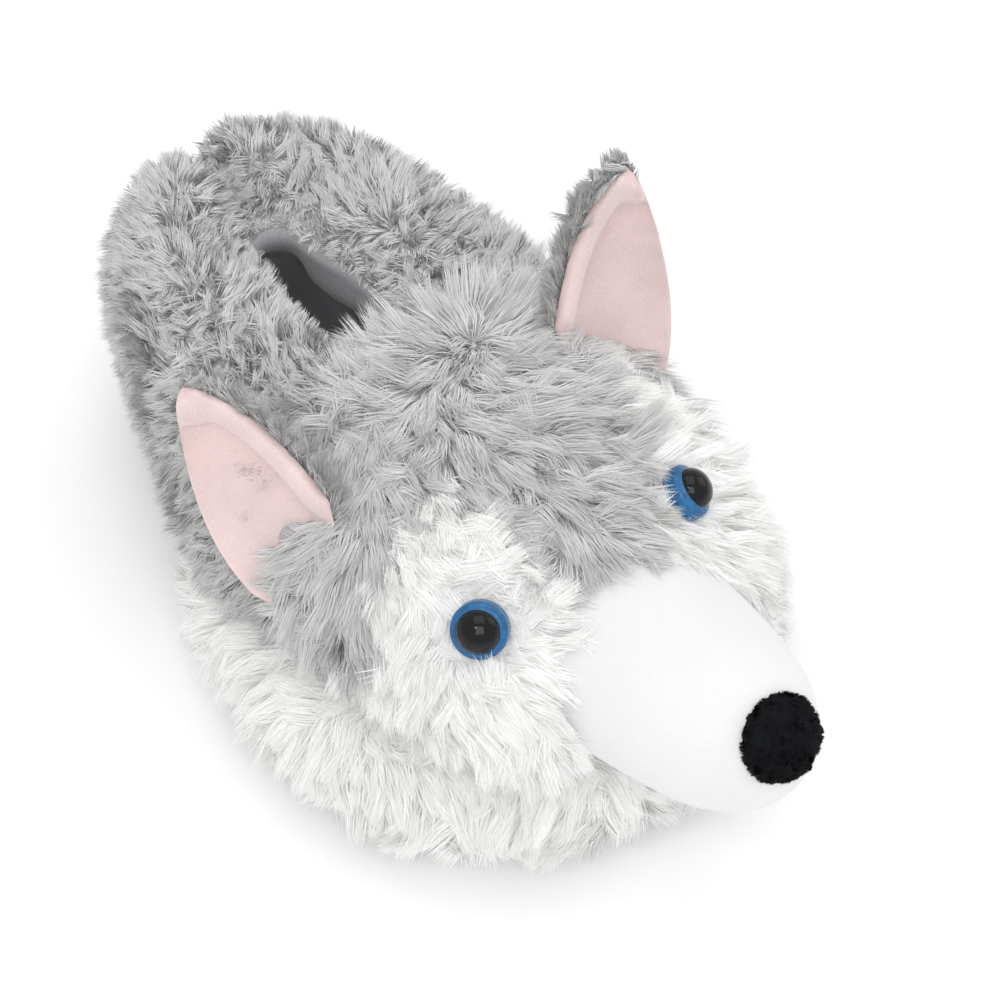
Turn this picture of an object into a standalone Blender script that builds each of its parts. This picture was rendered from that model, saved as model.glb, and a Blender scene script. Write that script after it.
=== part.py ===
"""Plush husky slipper: a stuffed, hollow upper on a flat fabric sole, with a dog's head over the instep.

Metres, +Z up, toe along -Y, heel along +Y. The origin is the middle of the sole's flat underside.
"forward" is the distance from the sole's heel end towards the toe.
"""

import math

import bmesh
import bpy
import numpy as np
from mathutils import Matrix, Vector

# Sole
SOLE_LENGTH = 0.262
SOLE_WIDTH = 0.108
SOLE_HEEL_WIDTH = 0.074
SOLE_THICKNESS = 0.006
WELT_STEP = 0.0015
TOE_SPRING = 0.004
ARCH_RISE = 0.0008

# Room for the foot
FOOT_WIDTH = 0.096
FOOT_HEEL_WIDTH = 0.068
INSTEP_HEIGHT = 0.078
TOE_HEIGHT = 0.036
INSOLE_THICKNESS = 0.005

# Stuffed upper
BODY_WIDTH = 0.164
HEEL_WIDTH = 0.112
COLLAR_HEIGHT = 0.112
OPENING_LENGTH = 0.068
OPENING_WIDTH = 0.028
HEEL_CREASE = 0.006
CREASE_WIDTH = 0.008

# White roll round the front
SKIRT_WIDTH = 0.190
SKIRT_HEIGHT = 0.046
SKIRT_THICKNESS = 0.050
SKIRT_OVERHANG = 0.011
FLOOR_CLEARANCE = 0.0015

# Head
HEAD_WIDTH = 0.156
HEAD_HEIGHT = 0.114
MUZZLE_LENGTH = 0.053
MUZZLE_WIDTH = 0.074
MUZZLE_HEIGHT = 0.050
NOSE_WIDTH = 0.027
NOSE_THICKNESS = 0.015
NOSE_TILT = math.radians(45)
EYE_DIAMETER = 0.018
EYE_SPACING = 0.086
EAR_HEIGHT = 0.068
EAR_THICKNESS = 0.008
EAR_CUP = 0.010
EAR_BOW = 0.006
EAR_SWELL = 0.42
LINING_THICKNESS = 0.0018
RIM_THICKNESS = 0.005

# Pile and fits
COLLAR_PILE = 0.004
HEAD_PILE = 0.006
SKIRT_PILE = 0.005
GAP = 0.0003

# Mesh fineness
AROUND = 72
LOCK_STEPS = 3
TOE_ROUND = 1.07

UPPER_COLOUR = (0.30, 0.30, 0.31)
WHITE_COLOUR = (0.85, 0.85, 0.83)
MUZZLE_COLOUR = (0.88, 0.87, 0.86)
BLACK_COLOUR = (0.008, 0.009, 0.011)
PINK_COLOUR = (0.80, 0.60, 0.60)
SOLE_COLOUR = (0.10, 0.10, 0.11)
INSOLE_COLOUR = (0.12, 0.12, 0.13)
EYE_COLOUR = (0.02, 0.05, 0.09)


# Small maths


def smooth(low, high, value):
    share = np.clip((value - low) / (high - low), 0.0, 1.0)
    return share * share * (3.0 - 2.0 * share)


def place(across, forward, height):
    """Puts (across, forward, height) into the slipper's frame."""
    across, forward, height = np.broadcast_arrays(across, forward, height)
    return np.stack([across, SOLE_LENGTH / 2 - forward, height], axis=-1)


def plan(angle, back, front, heel_half, ball_half, toe_round=TOE_ROUND):
    """An egg-shaped outline with round ends: angle 0 is its heel end and pi its toe end.

    toe_round is the length of the rounded toe as a share of the ball's half-width.
    """
    forward = back + (front - back) * (1.0 - np.cos(angle)) / 2.0
    share = (forward - back) / (front - back)
    half = heel_half + (ball_half - heel_half) * smooth(0.13, 0.60, share)
    heel_share = np.clip((forward - back) / heel_half, 0.0, 1.0)
    toe_share = np.clip((front - forward) / (toe_round * ball_half), 0.0, 1.0)
    half = half * np.sqrt(1.0 - (1.0 - heel_share) ** 2)
    half = half * np.sqrt(1.0 - (1.0 - toe_share) ** 2)
    return np.sign(np.sin(angle)) * half, forward


def sole_lift(forward):
    """How far the sole's underside stands off the floor: a low arch, and a spring at the toe."""
    share = forward / SOLE_LENGTH
    arch = ARCH_RISE * smooth(0.14, 0.30, share) * (1.0 - smooth(0.32, 0.455, share))
    spring = TOE_SPRING * np.clip((share - 0.78) / 0.22, 0.0, None) ** 2
    return arch + spring


def curve_through(rows, steps):
    """Catmull-Rom curve through rows of values, with the given steps from each row to the next."""
    rows = np.asarray(rows, float)
    before = np.concatenate([[2.0 * rows[0] - rows[1]], rows, [2.0 * rows[-1] - rows[-2]]])
    out = []
    for index, count in enumerate(steps):
        a, b, c, d = before[index : index + 4]
        for step in range(count):
            t = step / count
            bend = -a + 3.0 * b - 3.0 * c + d
            turn = 2.0 * a - 5.0 * b + 4.0 * c - d
            out.append(0.5 * (2.0 * b + (c - a) * t + turn * t**2 + bend * t**3))
    out.append(rows[-1])
    return np.array(out)


def locks(column, row):
    """Shingled tufts, from 0 at a root to 1 at a tip: each row of tufts is set half a tuft along."""
    line = row // LOCK_STEPS
    rise = (row % LOCK_STEPS) / (LOCK_STEPS - 1.0)
    shift = 0.5 * LOCK_STEPS * (line % 2)
    across = 0.5 - 0.5 * np.cos(2.0 * math.pi * (column + shift) / LOCK_STEPS)
    return rise * (0.45 + 0.55 * across)


def sideways(points):
    """Unit normals of a grid whose columns close on themselves. They all face in, or all face out."""
    along_columns = np.roll(points, -1, axis=1) - np.roll(points, 1, axis=1)
    along_rows = np.gradient(points, axis=0)
    normal = np.cross(along_columns, along_rows)
    normal /= np.maximum(np.linalg.norm(normal, axis=-1, keepdims=True), 1e-12)
    return normal


# Scene and mesh tools


def clear_scene():
    for item in list(bpy.data.objects):
        bpy.data.objects.remove(item, do_unlink=True)


def material(name, colour, roughness):
    made = bpy.data.materials.new(name)
    made.use_nodes = True
    shader = made.node_tree.nodes["Principled BSDF"]
    shader.inputs["Base Color"].default_value = (*colour, 1.0)
    shader.inputs["Roughness"].default_value = roughness
    made.diffuse_color = (*colour, 1.0)
    return made


def add_object(name, points, faces, look=None):
    mesh = bpy.data.meshes.new(name)
    mesh.from_pydata([tuple(point) for point in points], [], faces)
    made = bpy.data.objects.new(name, mesh)
    bpy.context.scene.collection.objects.link(made)
    if look:
        mesh.materials.append(look)
    return made


def strip(name, rings, look=None):
    """A loft through thin closed rings. Each end is closed from the ring's front half to its back half."""
    count, around = rings.shape[:2]
    faces = []
    for row in range(count - 1):
        for column in range(around):
            after = (column + 1) % around
            low = row * around
            high = low + around
            faces.append((low + column, low + after, high + after, high + column))
    last = (count - 1) * around
    for column in range(around // 2 - 1):
        facing = around - 1 - column
        faces.append((column, facing, facing - 1, column + 1))
        faces.append((last + column, last + column + 1, last + facing - 1, last + facing))
    return facing_out(add_object(name, rings.reshape(-1, 3), faces, look))


def tube(name, rings, first_end, last_end, look=None):
    """A loft through closed rings, brought to a point at each end."""
    count, around = rings.shape[:2]
    points = np.concatenate([rings.reshape(-1, 3), [first_end, last_end]])
    faces = []
    for row in range(count - 1):
        for column in range(around):
            after = (column + 1) % around
            low = row * around
            high = low + around
            faces.append((low + column, low + after, high + after, high + column))
    last = (count - 1) * around
    for column in range(around):
        after = (column + 1) % around
        faces.append((count * around, after, column))
        faces.append((count * around + 1, last + column, last + after))
    return facing_out(add_object(name, points, faces, look))


def hoop(name, rings, look=None):
    """A loft through closed rings whose last ring joins the first."""
    count, around = rings.shape[:2]
    faces = []
    for row in range(count):
        low = row * around
        high = (row + 1) % count * around
        for column in range(around):
            after = (column + 1) % around
            faces.append((low + column, low + after, high + after, high + column))
    return facing_out(add_object(name, rings.reshape(-1, 3), faces, look))


def facing_out(item):
    """Splits the faces into triangles, so that a piece and its cutter match, and turns them to face out."""
    work = bmesh.new()
    work.from_mesh(item.data)
    bmesh.ops.triangulate(work, faces=work.faces[:])
    if work.calc_volume(signed=True) < 0.0:
        bmesh.ops.reverse_faces(work, faces=work.faces[:])
    work.to_mesh(item.data)
    work.free()
    return item


def cutter_from(item, name):
    """A copy that stands the gap proud of the piece, kept among the cutters."""
    copy = bpy.data.objects.new(name, item.data.copy())
    copy.matrix_world = item.matrix_world.copy()
    CUTTERS.objects.link(copy)
    copy.hide_render = True
    copy.display_type = "WIRE"
    return swollen(copy)


def as_cutter(item):
    bpy.context.scene.collection.objects.unlink(item)
    CUTTERS.objects.link(item)
    item.hide_render = True
    item.display_type = "WIRE"
    return item


def swollen(item):
    """Moves a cutter's faces out by the gap that neighbours keep."""
    swell = item.modifiers.new("gap", "DISPLACE")
    swell.direction = "NORMAL"
    swell.mid_level = 0.0
    swell.strength = GAP
    return item


def cut(item, tool):
    change = item.modifiers.new("cut by " + tool.name, "BOOLEAN")
    change.operation = "DIFFERENCE"
    change.solver = "EXACT"
    change.object = tool


# Sole and insole


def pad_rings(back, front, heel_half, ball_half, section, stations):
    """Cross-sections of a flat pad, worked out along the egg-shaped outline."""
    angles = math.pi * (np.arange(stations) + 0.6) / (stations + 0.2)
    half, forward = plan(angles, back, front, heel_half, ball_half)
    rings = []
    for width, at in zip(half, forward):
        across = np.array([share * width + inset for share, inset, _ in section])
        across = np.where(np.array([share for share, _, _ in section]) * across < 0.0, 0.0, across)
        height = np.array([height for _, _, height in section]) + sole_lift(at)
        rings.append(place(across, at, height))
    return np.array(rings)


def sole_half(forward, half):
    """The sole's half-width, drawn in at the arch."""
    share = forward / SOLE_LENGTH
    return half * (1.0 - 0.07 * np.exp(-(((share - 0.40) / 0.13) ** 2)))


def build_outsole():
    """A flat sole with a step round its side, a low arch and a little toe spring."""
    top = SOLE_THICKNESS
    step = WELT_STEP
    # share of the half-width, inset, height
    section = [
        (0.0, 0.0, 0.0),
        (0.55, 0.0, 0.0),
        (1.0, -step, 0.0),
        (1.0, 0.0, 0.25 * top),
        (1.0, 0.0, 0.60 * top),
        (1.0, -step, 0.66 * top),
        (1.0, -step, top),
        (0.50, 0.0, top),
        (0.0, 0.0, top),
        (-0.50, 0.0, top),
        (-1.0, step, top),
        (-1.0, step, 0.66 * top),
        (-1.0, 0.0, 0.60 * top),
        (-1.0, 0.0, 0.25 * top),
        (-1.0, step, 0.0),
        (-0.55, 0.0, 0.0),
    ]
    heel = SOLE_HEEL_WIDTH / 2
    ball = SOLE_WIDTH / 2
    rings = pad_rings(0.0, SOLE_LENGTH, heel, ball, section, 20)
    forward = SOLE_LENGTH / 2 - rings[..., 1]
    rings[..., 0] = sole_half(forward, rings[..., 0])
    heel_end = place(0.0, 0.0, 0.4 * top)
    toe_end = place(0.0, SOLE_LENGTH, 0.4 * top + sole_lift(SOLE_LENGTH))
    return tube("outsole", rings, heel_end, toe_end, material("outsole", SOLE_COLOUR, 0.9))


def build_footprint():
    """The sole's outline as a tall plug, which keeps the front roll clear of the sole and the gap over it."""
    low = -2.0 * SOLE_THICKNESS
    high = 3.0 * SOLE_THICKNESS
    # share of the half-width, inset, height
    section = [
        (0.0, 0.0, low),
        (1.0, GAP, low),
        (1.0, GAP, high),
        (0.0, 0.0, high),
        (-1.0, -GAP, high),
        (-1.0, -GAP, low),
    ]
    heel = SOLE_HEEL_WIDTH / 2
    ball_half = SOLE_WIDTH / 2
    rings = pad_rings(-GAP, SOLE_LENGTH + GAP, heel, ball_half, section, 40)
    middle = (low + high) / 2
    heel_end = place(0.0, -GAP, middle)
    toe_end = place(0.0, SOLE_LENGTH + GAP, middle)
    return as_cutter(tube("footprint", rings, heel_end, toe_end))


def build_insole():
    """A padded footbed that fills the floor of the upper, which trims it."""
    low = SOLE_THICKNESS + GAP
    high = low + INSOLE_THICKNESS
    edge = 0.35 * INSOLE_THICKNESS
    section = [
        (0.0, 0.0, low),
        (1.0, -edge, low),
        (1.0, 0.0, low + edge),
        (1.0, -edge, high - 0.2 * edge),
        (0.5, 0.0, high),
        (0.0, 0.0, high),
        (-0.5, 0.0, high),
        (-1.0, edge, high - 0.2 * edge),
        (-1.0, 0.0, low + edge),
        (-1.0, edge, low),
    ]
    back, front, heel, ball = room_outline()
    rings = pad_rings(back, front, heel, ball, section, 16)
    middle = (low + high) / 2
    heel_end = place(0.0, back, middle)
    toe_end = place(0.0, front, middle + sole_lift(front))
    return tube("insole", rings, heel_end, toe_end, material("insole", INSOLE_COLOUR, 0.95))


def room_outline():
    """Heel end, toe end and half-widths of the foot's room at the floor."""
    heel_wall = 0.5 * (HEEL_WIDTH - FOOT_HEEL_WIDTH)
    toe_wall = 0.10 * SOLE_LENGTH
    return (0.70 * heel_wall, SOLE_LENGTH - toe_wall, 0.47 * FOOT_HEEL_WIDTH, 0.48 * FOOT_WIDTH)


# Upper


def ring(angle, back, front, heel_half, ball_half, toe_round, heel_height, side_height, toe_height):
    """One line round the upper. Its height passes from heel to side to toe."""
    across, forward = plan(angle, back, front, heel_half, ball_half, toe_round)
    at_heel = ((1.0 + np.cos(angle)) / 2.0) ** 2
    at_toe = ((1.0 - np.cos(angle)) / 2.0) ** 2
    at_side = 1.0 - at_heel - at_toe
    height = heel_height * at_heel + side_height * at_side + toe_height * at_toe
    return np.stack([across, forward, height], axis=-1)


def upper_rings():
    """The wall's lines from the sole's edge, up outside, over the collar and down inside."""
    length = SOLE_LENGTH
    collar = COLLAR_HEIGHT
    body = BODY_WIDTH / 2
    heel = HEEL_WIDTH / 2
    foot = FOOT_WIDTH / 2
    foot_heel = FOOT_HEEL_WIDTH / 2
    mouth = OPENING_WIDTH / 2
    mouth_back = 0.172 * length
    mouth_front = mouth_back + OPENING_LENGTH
    seat = SOLE_THICKNESS + GAP
    room_back, room_front, room_heel, room_ball = room_outline()
    angle = 2.0 * math.pi * np.arange(AROUND) / AROUND
    instep = INSTEP_HEIGHT
    toe = TOE_HEIGHT
    # heights at heel, side and toe
    at_sole = (seat, seat, seat)
    over_sole = (0.13 * collar, 0.13 * collar, 0.12 * collar)
    low_side = (0.37 * collar, 0.38 * collar, 0.26 * collar)
    high_side = (0.67 * collar, 0.65 * collar, 0.44 * collar)
    shoulder = (0.91 * collar, 0.88 * collar, 0.60 * collar)
    roll_top = (collar, 0.99 * collar, 0.82 * collar)
    over_mouth = (0.95 * collar, 0.95 * collar, 0.90 * collar)
    at_mouth = (0.84 * collar, 0.84 * collar, 0.86 * collar)
    under_mouth = (0.73 * collar, 0.73 * collar, 0.77 * collar)
    over_heel = (0.56 * collar, 0.54 * collar, 0.86 * instep)
    over_ball = (0.38 * collar, 0.36 * collar, 1.40 * toe)
    over_toes = (0.21 * collar, 0.21 * collar, 0.90 * toe)
    # back, front, heel half, ball half, toe roundness, the three heights, steps to the next line
    table = [
        (0.015 * length, 0.970 * length, 0.64 * heel, 0.62 * body, 1.1, *at_sole, 1),
        (-0.008 * length, 0.960 * length, 0.91 * heel, 0.88 * body, 1.3, *over_sole, 2),
        (-0.026 * length, 0.910 * length, heel, 1.02 * body, 1.4, *low_side, 3),
        (-0.030 * length, 0.850 * length, 1.03 * heel, body, 1.4, *high_side, 3),
        (-0.004 * length, 0.730 * length, 0.95 * heel, 0.87 * body, 1.2, *shoulder, 3),
        (0.066 * length, 0.540 * length, 0.70 * heel, 0.56 * body, 1.1, *roll_top, 2),
        (0.74 * mouth_back, mouth_front + 0.020 * length, 1.8 * mouth, 2.0 * mouth, 1.1, *over_mouth, 2),
        (mouth_back, mouth_front, 0.62 * mouth, mouth, 1.1, *at_mouth, 1),
        (0.96 * mouth_back, mouth_front + 0.010 * length, 0.80 * mouth, 1.2 * mouth, 1.1, *under_mouth, 2),
        (0.62 * mouth_back, 0.600 * length, 0.80 * foot_heel, 0.76 * foot, 1.1, *over_heel, 2),
        (0.42 * mouth_back, 0.780 * length, 0.96 * foot_heel, 0.95 * foot, 1.1, *over_ball, 1),
        (0.95 * room_back, 0.985 * room_front, 1.04 * foot_heel, foot, 1.1, *over_toes, 1),
        (room_back, room_front, room_heel, room_ball, 1.1, *at_sole, 0),
    ]
    lines = np.array([ring(angle, *row[:8]) for row in table])
    rows = curve_through(lines, [row[8] for row in table[:-1]])
    edge = sum(row[8] for row in table[:7])
    return rows, edge


def collar_locks(rows, edge):
    """Tufts on the outside of the wall, fading out under the head, at the sole and at the opening."""
    index = np.arange(len(rows))[:, None]
    column = np.arange(AROUND)[None, :]
    depth = COLLAR_PILE * locks(column, index)
    depth = depth * (index >= 2) * (index < edge - 1)
    forward = rows[..., 1] / SOLE_LENGTH
    return depth * (1.0 - smooth(0.46, 0.56, forward))


def heel_crease(rows, edge):
    """The pinched seam down the middle of the heel's roll."""
    index = np.arange(len(rows))[:, None]
    strength = smooth(5, 9, index) * (1.0 - smooth(edge - 2, edge, index))
    near = np.exp(-((rows[..., 0] / CREASE_WIDTH) ** 2)) * (rows[..., 1] < 0.3 * SOLE_LENGTH)
    return HEEL_CREASE * strength * near


def upper_points():
    rows, edge = upper_rings()
    points = place(rows[..., 0], rows[..., 1], rows[..., 2])
    middle = points.mean(axis=(0, 1))
    normal = sideways(points)
    face_out = np.sign(((points - middle) * normal)[2].sum())
    shift = collar_locks(rows, edge) - heel_crease(rows, edge)
    points = points + face_out * normal * shift[..., None]
    seated = [0, len(points) - 1]
    points[seated, :, 2] += sole_lift(rows[seated, :, 1])
    return points, edge


def build_upper():
    points, edge = upper_points()
    sides = np.linspace(points[-1], points[0], 3)[1:-1]
    solid = hoop("upper", np.concatenate([points, sides]), material("upper", UPPER_COLOUR, 0.9))
    outside = points[: edge + 1]
    low_end = outside[0].mean(axis=0)
    high_end = outside[-1].mean(axis=0)
    filled = swollen(as_cutter(tube("upper_filled", outside, low_end, high_end)))
    return solid, filled


# White roll round the front


def build_skirt():
    """A stuffed roll that follows the upper's foot from one side, round the toe, to the other."""
    along = 48
    around = 10
    thick = SKIRT_THICKNESS / 2
    tall = (SKIRT_HEIGHT - FLOOR_CLEARANCE) / 2
    middle = FLOOR_CLEARANCE + tall
    share = (np.arange(along) + 0.5) / along
    angle = math.pi * (0.44 + 1.12 * share)
    front = SOLE_LENGTH + SKIRT_OVERHANG - thick
    across, forward = plan(angle, 0.0, front, HEEL_WIDTH / 2 - thick, SKIRT_WIDTH / 2 - thick)
    path = place(across, forward, middle)
    run = np.gradient(path, axis=0)
    side = np.cross(run, [0.0, 0.0, 1.0])
    side /= np.linalg.norm(side, axis=1, keepdims=True)
    fullness = np.sqrt(1.0 - (1.0 - np.clip(np.minimum(share, 1.0 - share) / 0.14, 0.0, 1.0)) ** 2)
    turn = 2.0 * math.pi * np.arange(around) / around
    reach = np.sign(np.cos(turn)) * np.abs(np.cos(turn)) ** 0.85
    rise = np.sign(np.sin(turn)) * np.abs(np.sin(turn)) ** 0.85
    rings = path[:, None] + side[:, None] * (thick * fullness[:, None] * reach)[..., None]
    rings[..., 2] += tall * (0.35 + 0.65 * fullness[:, None]) * rise
    normal = sideways(rings)
    facing = np.sign(((rings - path[:, None]) * normal).sum())
    row = np.arange(around)[None, :]
    column = np.arange(along)[:, None]
    tufts = locks(column, around - 1 - row) * smooth(-0.75, -0.35, np.sin(turn))
    tufts = tufts * smooth(0.10, 0.20, np.minimum(share, 1.0 - share))[:, None]
    rings = rings + facing * normal * (SKIRT_PILE * tufts)[..., None]
    rings[..., 2] = np.maximum(rings[..., 2], FLOOR_CLEARANCE)
    return tube("skirt", rings, path[0], path[-1], material("skirt", WHITE_COLOUR, 0.9))


# Head


def head_rows():
    """Stations down the head, as metres: forward, half-width, height of the widest line, top, bottom."""
    length = SOLE_LENGTH
    half = HEAD_WIDTH / 2
    high = HEAD_HEIGHT
    # share of length, of half-width, and of height for the widest line, the top and the bottom
    table = [
        (0.440, 0.40, 0.850, 0.925, 0.76),
        (0.465, 0.70, 0.790, 0.985, 0.62),
        (0.520, 0.92, 0.690, 1.000, 0.48),
        (0.590, 0.99, 0.620, 0.975, 0.38),
        (0.670, 0.98, 0.590, 0.945, 0.33),
        (0.750, 0.94, 0.580, 0.910, 0.30),
        (0.825, 0.88, 0.580, 0.865, 0.28),
        (0.890, 0.79, 0.575, 0.805, 0.28),
        (0.945, 0.64, 0.570, 0.735, 0.31),
        (0.975, 0.46, 0.560, 0.670, 0.38),
    ]
    scale = np.array([length, half, high, high, high])
    return curve_through(np.array(table) * scale, [2, 2, 2, 3, 3, 3, 2, 2, 2])


def head_point(row, turn):
    """A point of one head section: turn 0 is its left side and a quarter turn its top."""
    forward, half, widest, top, bottom = np.moveaxis(row, -1, 0)
    reach = np.sign(np.cos(turn)) * np.abs(np.cos(turn)) ** 0.92
    rise = np.sin(turn)
    height = widest + np.where(rise > 0.0, top - widest, widest - bottom) * rise
    return place(half * reach, forward, height)


def head_row_at(forward):
    rows = head_rows()
    return np.array([np.interp(forward, rows[:, 0], rows[:, k]) for k in range(5)])


def head_spot(forward, across):
    """A point of the head's upper side and the direction that it faces."""
    row = head_row_at(forward)
    turn = math.acos(np.clip(abs(across) / row[1], 0.0, 1.0) ** (1.0 / 0.92))
    if across < 0.0:
        turn = math.pi - turn
    here = head_point(row, turn)
    ahead = head_point(head_row_at(forward + 0.015 * SOLE_LENGTH), turn)
    beside = head_point(row, turn + 0.05)
    facing = np.cross(beside - here, ahead - here)
    facing /= np.linalg.norm(facing)
    middle = np.array([0.0, here[1], row[2]])
    if np.dot(facing, here - middle) < 0.0:
        facing = -facing
    return here, facing


def build_head():
    """The padded head, with tufts that lie back towards the opening."""
    around = 42
    rows = head_rows()
    turn = 2.0 * math.pi * np.arange(around) / around
    rings = head_point(rows[:, None, :], turn[None, :])
    normal = sideways(rings)
    middle = place(0.0, rows[:, 0], rows[:, 2])[:, None]
    facing = np.sign(((rings - middle) * normal).sum())
    index = len(rows) - 1 - np.arange(len(rows))[:, None]
    share = rows[:, 0, None] / SOLE_LENGTH
    clear = (1.0 - smooth(0.86, 0.94, share)) * smooth(0.44, 0.50, share)
    tufts = locks(np.arange(around)[None, :], index) * clear * smooth(-0.6, -0.1, np.sin(turn))
    rings = rings + facing * normal * (HEAD_PILE * tufts)[..., None]
    back_end = place(0.0, rows[0, 0] - 0.010 * SOLE_LENGTH, rows[0, 2])
    front_end = place(0.0, rows[-1, 0] + 0.012 * SOLE_LENGTH, rows[-1, 2])
    return tube("head", rings, back_end, front_end, material("head", UPPER_COLOUR, 0.9))


def muzzle_rows():
    """Stations down the muzzle: forward, half-width, middle height, half-height."""
    start = 0.85 * SOLE_LENGTH
    face = 0.98 * SOLE_LENGTH
    tip = face + MUZZLE_LENGTH
    half = MUZZLE_WIDTH / 2
    tall = MUZZLE_HEIGHT / 2
    level = 0.62 * HEAD_HEIGHT
    # share of the way from the buried start to the tip, of half-width and half-height, and rise
    table = [
        (0.00, 0.97, 0.92, 0.00),
        (0.20, 1.00, 0.98, 0.01),
        (0.40, 0.96, 1.03, 0.03),
        (0.60, 0.86, 1.04, 0.06),
        (0.76, 0.74, 1.00, 0.08),
        (0.89, 0.55, 0.78, 0.09),
        (0.965, 0.32, 0.46, 0.09),
    ]
    rows = []
    for share, wide, high, rise in table:
        rows.append((start + (tip - start) * share, half * wide, level + rise * HEAD_HEIGHT, tall * high))
    return curve_through(rows, [2, 2, 2, 2, 2, 1]), tip


def build_muzzle():
    around = 20
    rows, tip = muzzle_rows()
    turn = 2.0 * math.pi * np.arange(around) / around
    forward, half, middle, tall = np.moveaxis(rows[:, None, :], -1, 0)
    rings = place(half * np.cos(turn), forward, middle + tall * np.sin(turn))
    back_end = place(0.0, rows[0, 0], rows[0, 2])
    front_end = place(0.0, tip, rows[-1, 2])
    return tube("muzzle", rings, back_end, front_end, material("muzzle", MUZZLE_COLOUR, 0.9))


def ball(name, radius, thickness, centre, facing, look):
    """A flattened ball whose thin way lies along facing."""
    bpy.ops.mesh.primitive_uv_sphere_add(segments=16, ring_count=8, radius=1.0)
    made = bpy.context.active_object
    made.name = name
    turn = Vector(facing).to_track_quat("Z", "Y").to_matrix().to_4x4()
    size = Matrix.Diagonal((radius, radius, thickness, 1.0))
    made.data.transform(Matrix.Translation(Vector(centre)) @ turn @ size)
    made.data.name = name
    made.data.materials.append(look)
    return facing_out(made)


def build_nose():
    rows, tip = muzzle_rows()
    at = 0.79 * (tip - rows[0, 0]) + rows[0, 0]
    row = np.array([np.interp(at, rows[:, 0], rows[:, k]) for k in range(4)])
    centre = place(0.0, at + 0.40 * row[3], row[2] + 0.72 * row[3])
    facing = (0.0, -math.cos(NOSE_TILT), math.sin(NOSE_TILT))
    look = material("nose", BLACK_COLOUR, 0.85)
    return ball("nose", NOSE_WIDTH / 2, NOSE_THICKNESS / 2, centre, facing, look)


def build_eye(name, side):
    radius = EYE_DIAMETER / 2
    here, facing = head_spot(0.828 * SOLE_LENGTH, side * EYE_SPACING / 2)
    centre = here + facing * 0.25 * radius
    look = material(name, EYE_COLOUR, 0.05)
    return ball(name, radius, 0.8 * radius, centre, facing, look)


# Ears


def ear_frame(side, inner, outer, lean_back, lean_out, length):
    """Middle of the ear's foot, and its directions: across it to the outside, up the ear, and forward.

    inner and outer are each a station along the head and a turn round it, where an end of the foot stands.
    length is the ear's length as a share of EAR_HEIGHT.
    """
    first = head_point(head_row_at(inner[0] * SOLE_LENGTH), math.radians(inner[1]))
    second = head_point(head_row_at(outer[0] * SOLE_LENGTH), math.radians(outer[1]))
    foot = (first + second) / 2
    across = (second - first) / 2
    back = math.radians(lean_back)
    out = math.radians(lean_out)
    rise = np.array([math.sin(out), math.cos(out) * math.sin(back), math.cos(out) * math.cos(back)])
    ahead = np.cross(across, rise)
    ahead /= np.linalg.norm(ahead)
    if ahead[1] > 0.0:
        ahead = -ahead
    flip = np.array([side, 1.0, 1.0])
    return foot * flip, across * flip, length * rise * flip, ahead * flip


def ear_sheet(frame, up, over, ahead_by):
    """Points of the ear: up is 0 at its foot and 1 at its tip, over runs from -1 inside to 1 outside.

    EAR_SWELL is how far the outer edge bulges half way up, as a share of the ear's half-width.
    """
    foot, across, rise, ahead = frame
    inside = np.clip(up, 0.0, 1.0)
    width = 0.56 * (1.0 - up) + 0.44 * np.sqrt(1.0 - inside**2)
    width = width + EAR_SWELL * np.sin(math.pi * inside**0.9) * (over > 0.0)
    width = np.where(up < 0.0, 1.0 + 1.6 * up, width)
    cup = EAR_CUP * over**2 * (1.0 - 0.45 * up) - EAR_BOW * np.sin(math.pi * inside)
    point = foot + (EAR_HEIGHT * up)[..., None] * rise
    point = point + (width * over)[..., None] * across
    return point + (cup + ahead_by)[..., None] * ahead


def build_ear(name, frame, look):
    """The furry outside of one ear: a cupped, padded leaf that runs into the head."""
    up = np.array([-0.30, -0.15, 0.0, 0.15, 0.30, 0.45, 0.60, 0.74, 0.86, 0.94])[:, None]
    turn = 2.0 * math.pi * np.arange(18)[None, :] / 18
    over = np.cos(turn) * np.ones_like(up)
    depth = np.where(np.sin(turn) > 0.0, 0.25, -0.75) * np.abs(np.sin(turn)) * EAR_THICKNESS
    depth = depth * np.sqrt(np.clip(1.02 - np.clip(up, 0.0, 1.0) ** 3, 0.1, 1.0))
    up = up * np.ones_like(over)
    rings = ear_sheet(frame, up, over, depth)
    low = ear_sheet(frame, np.array([-0.34]), np.array([0.0]), np.array([0.0]))[0]
    tip = ear_sheet(frame, np.array([0.985]), np.array([0.0]), np.array([-0.25 * EAR_THICKNESS]))[0]
    return tube(name, rings, low, tip, look)


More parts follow.
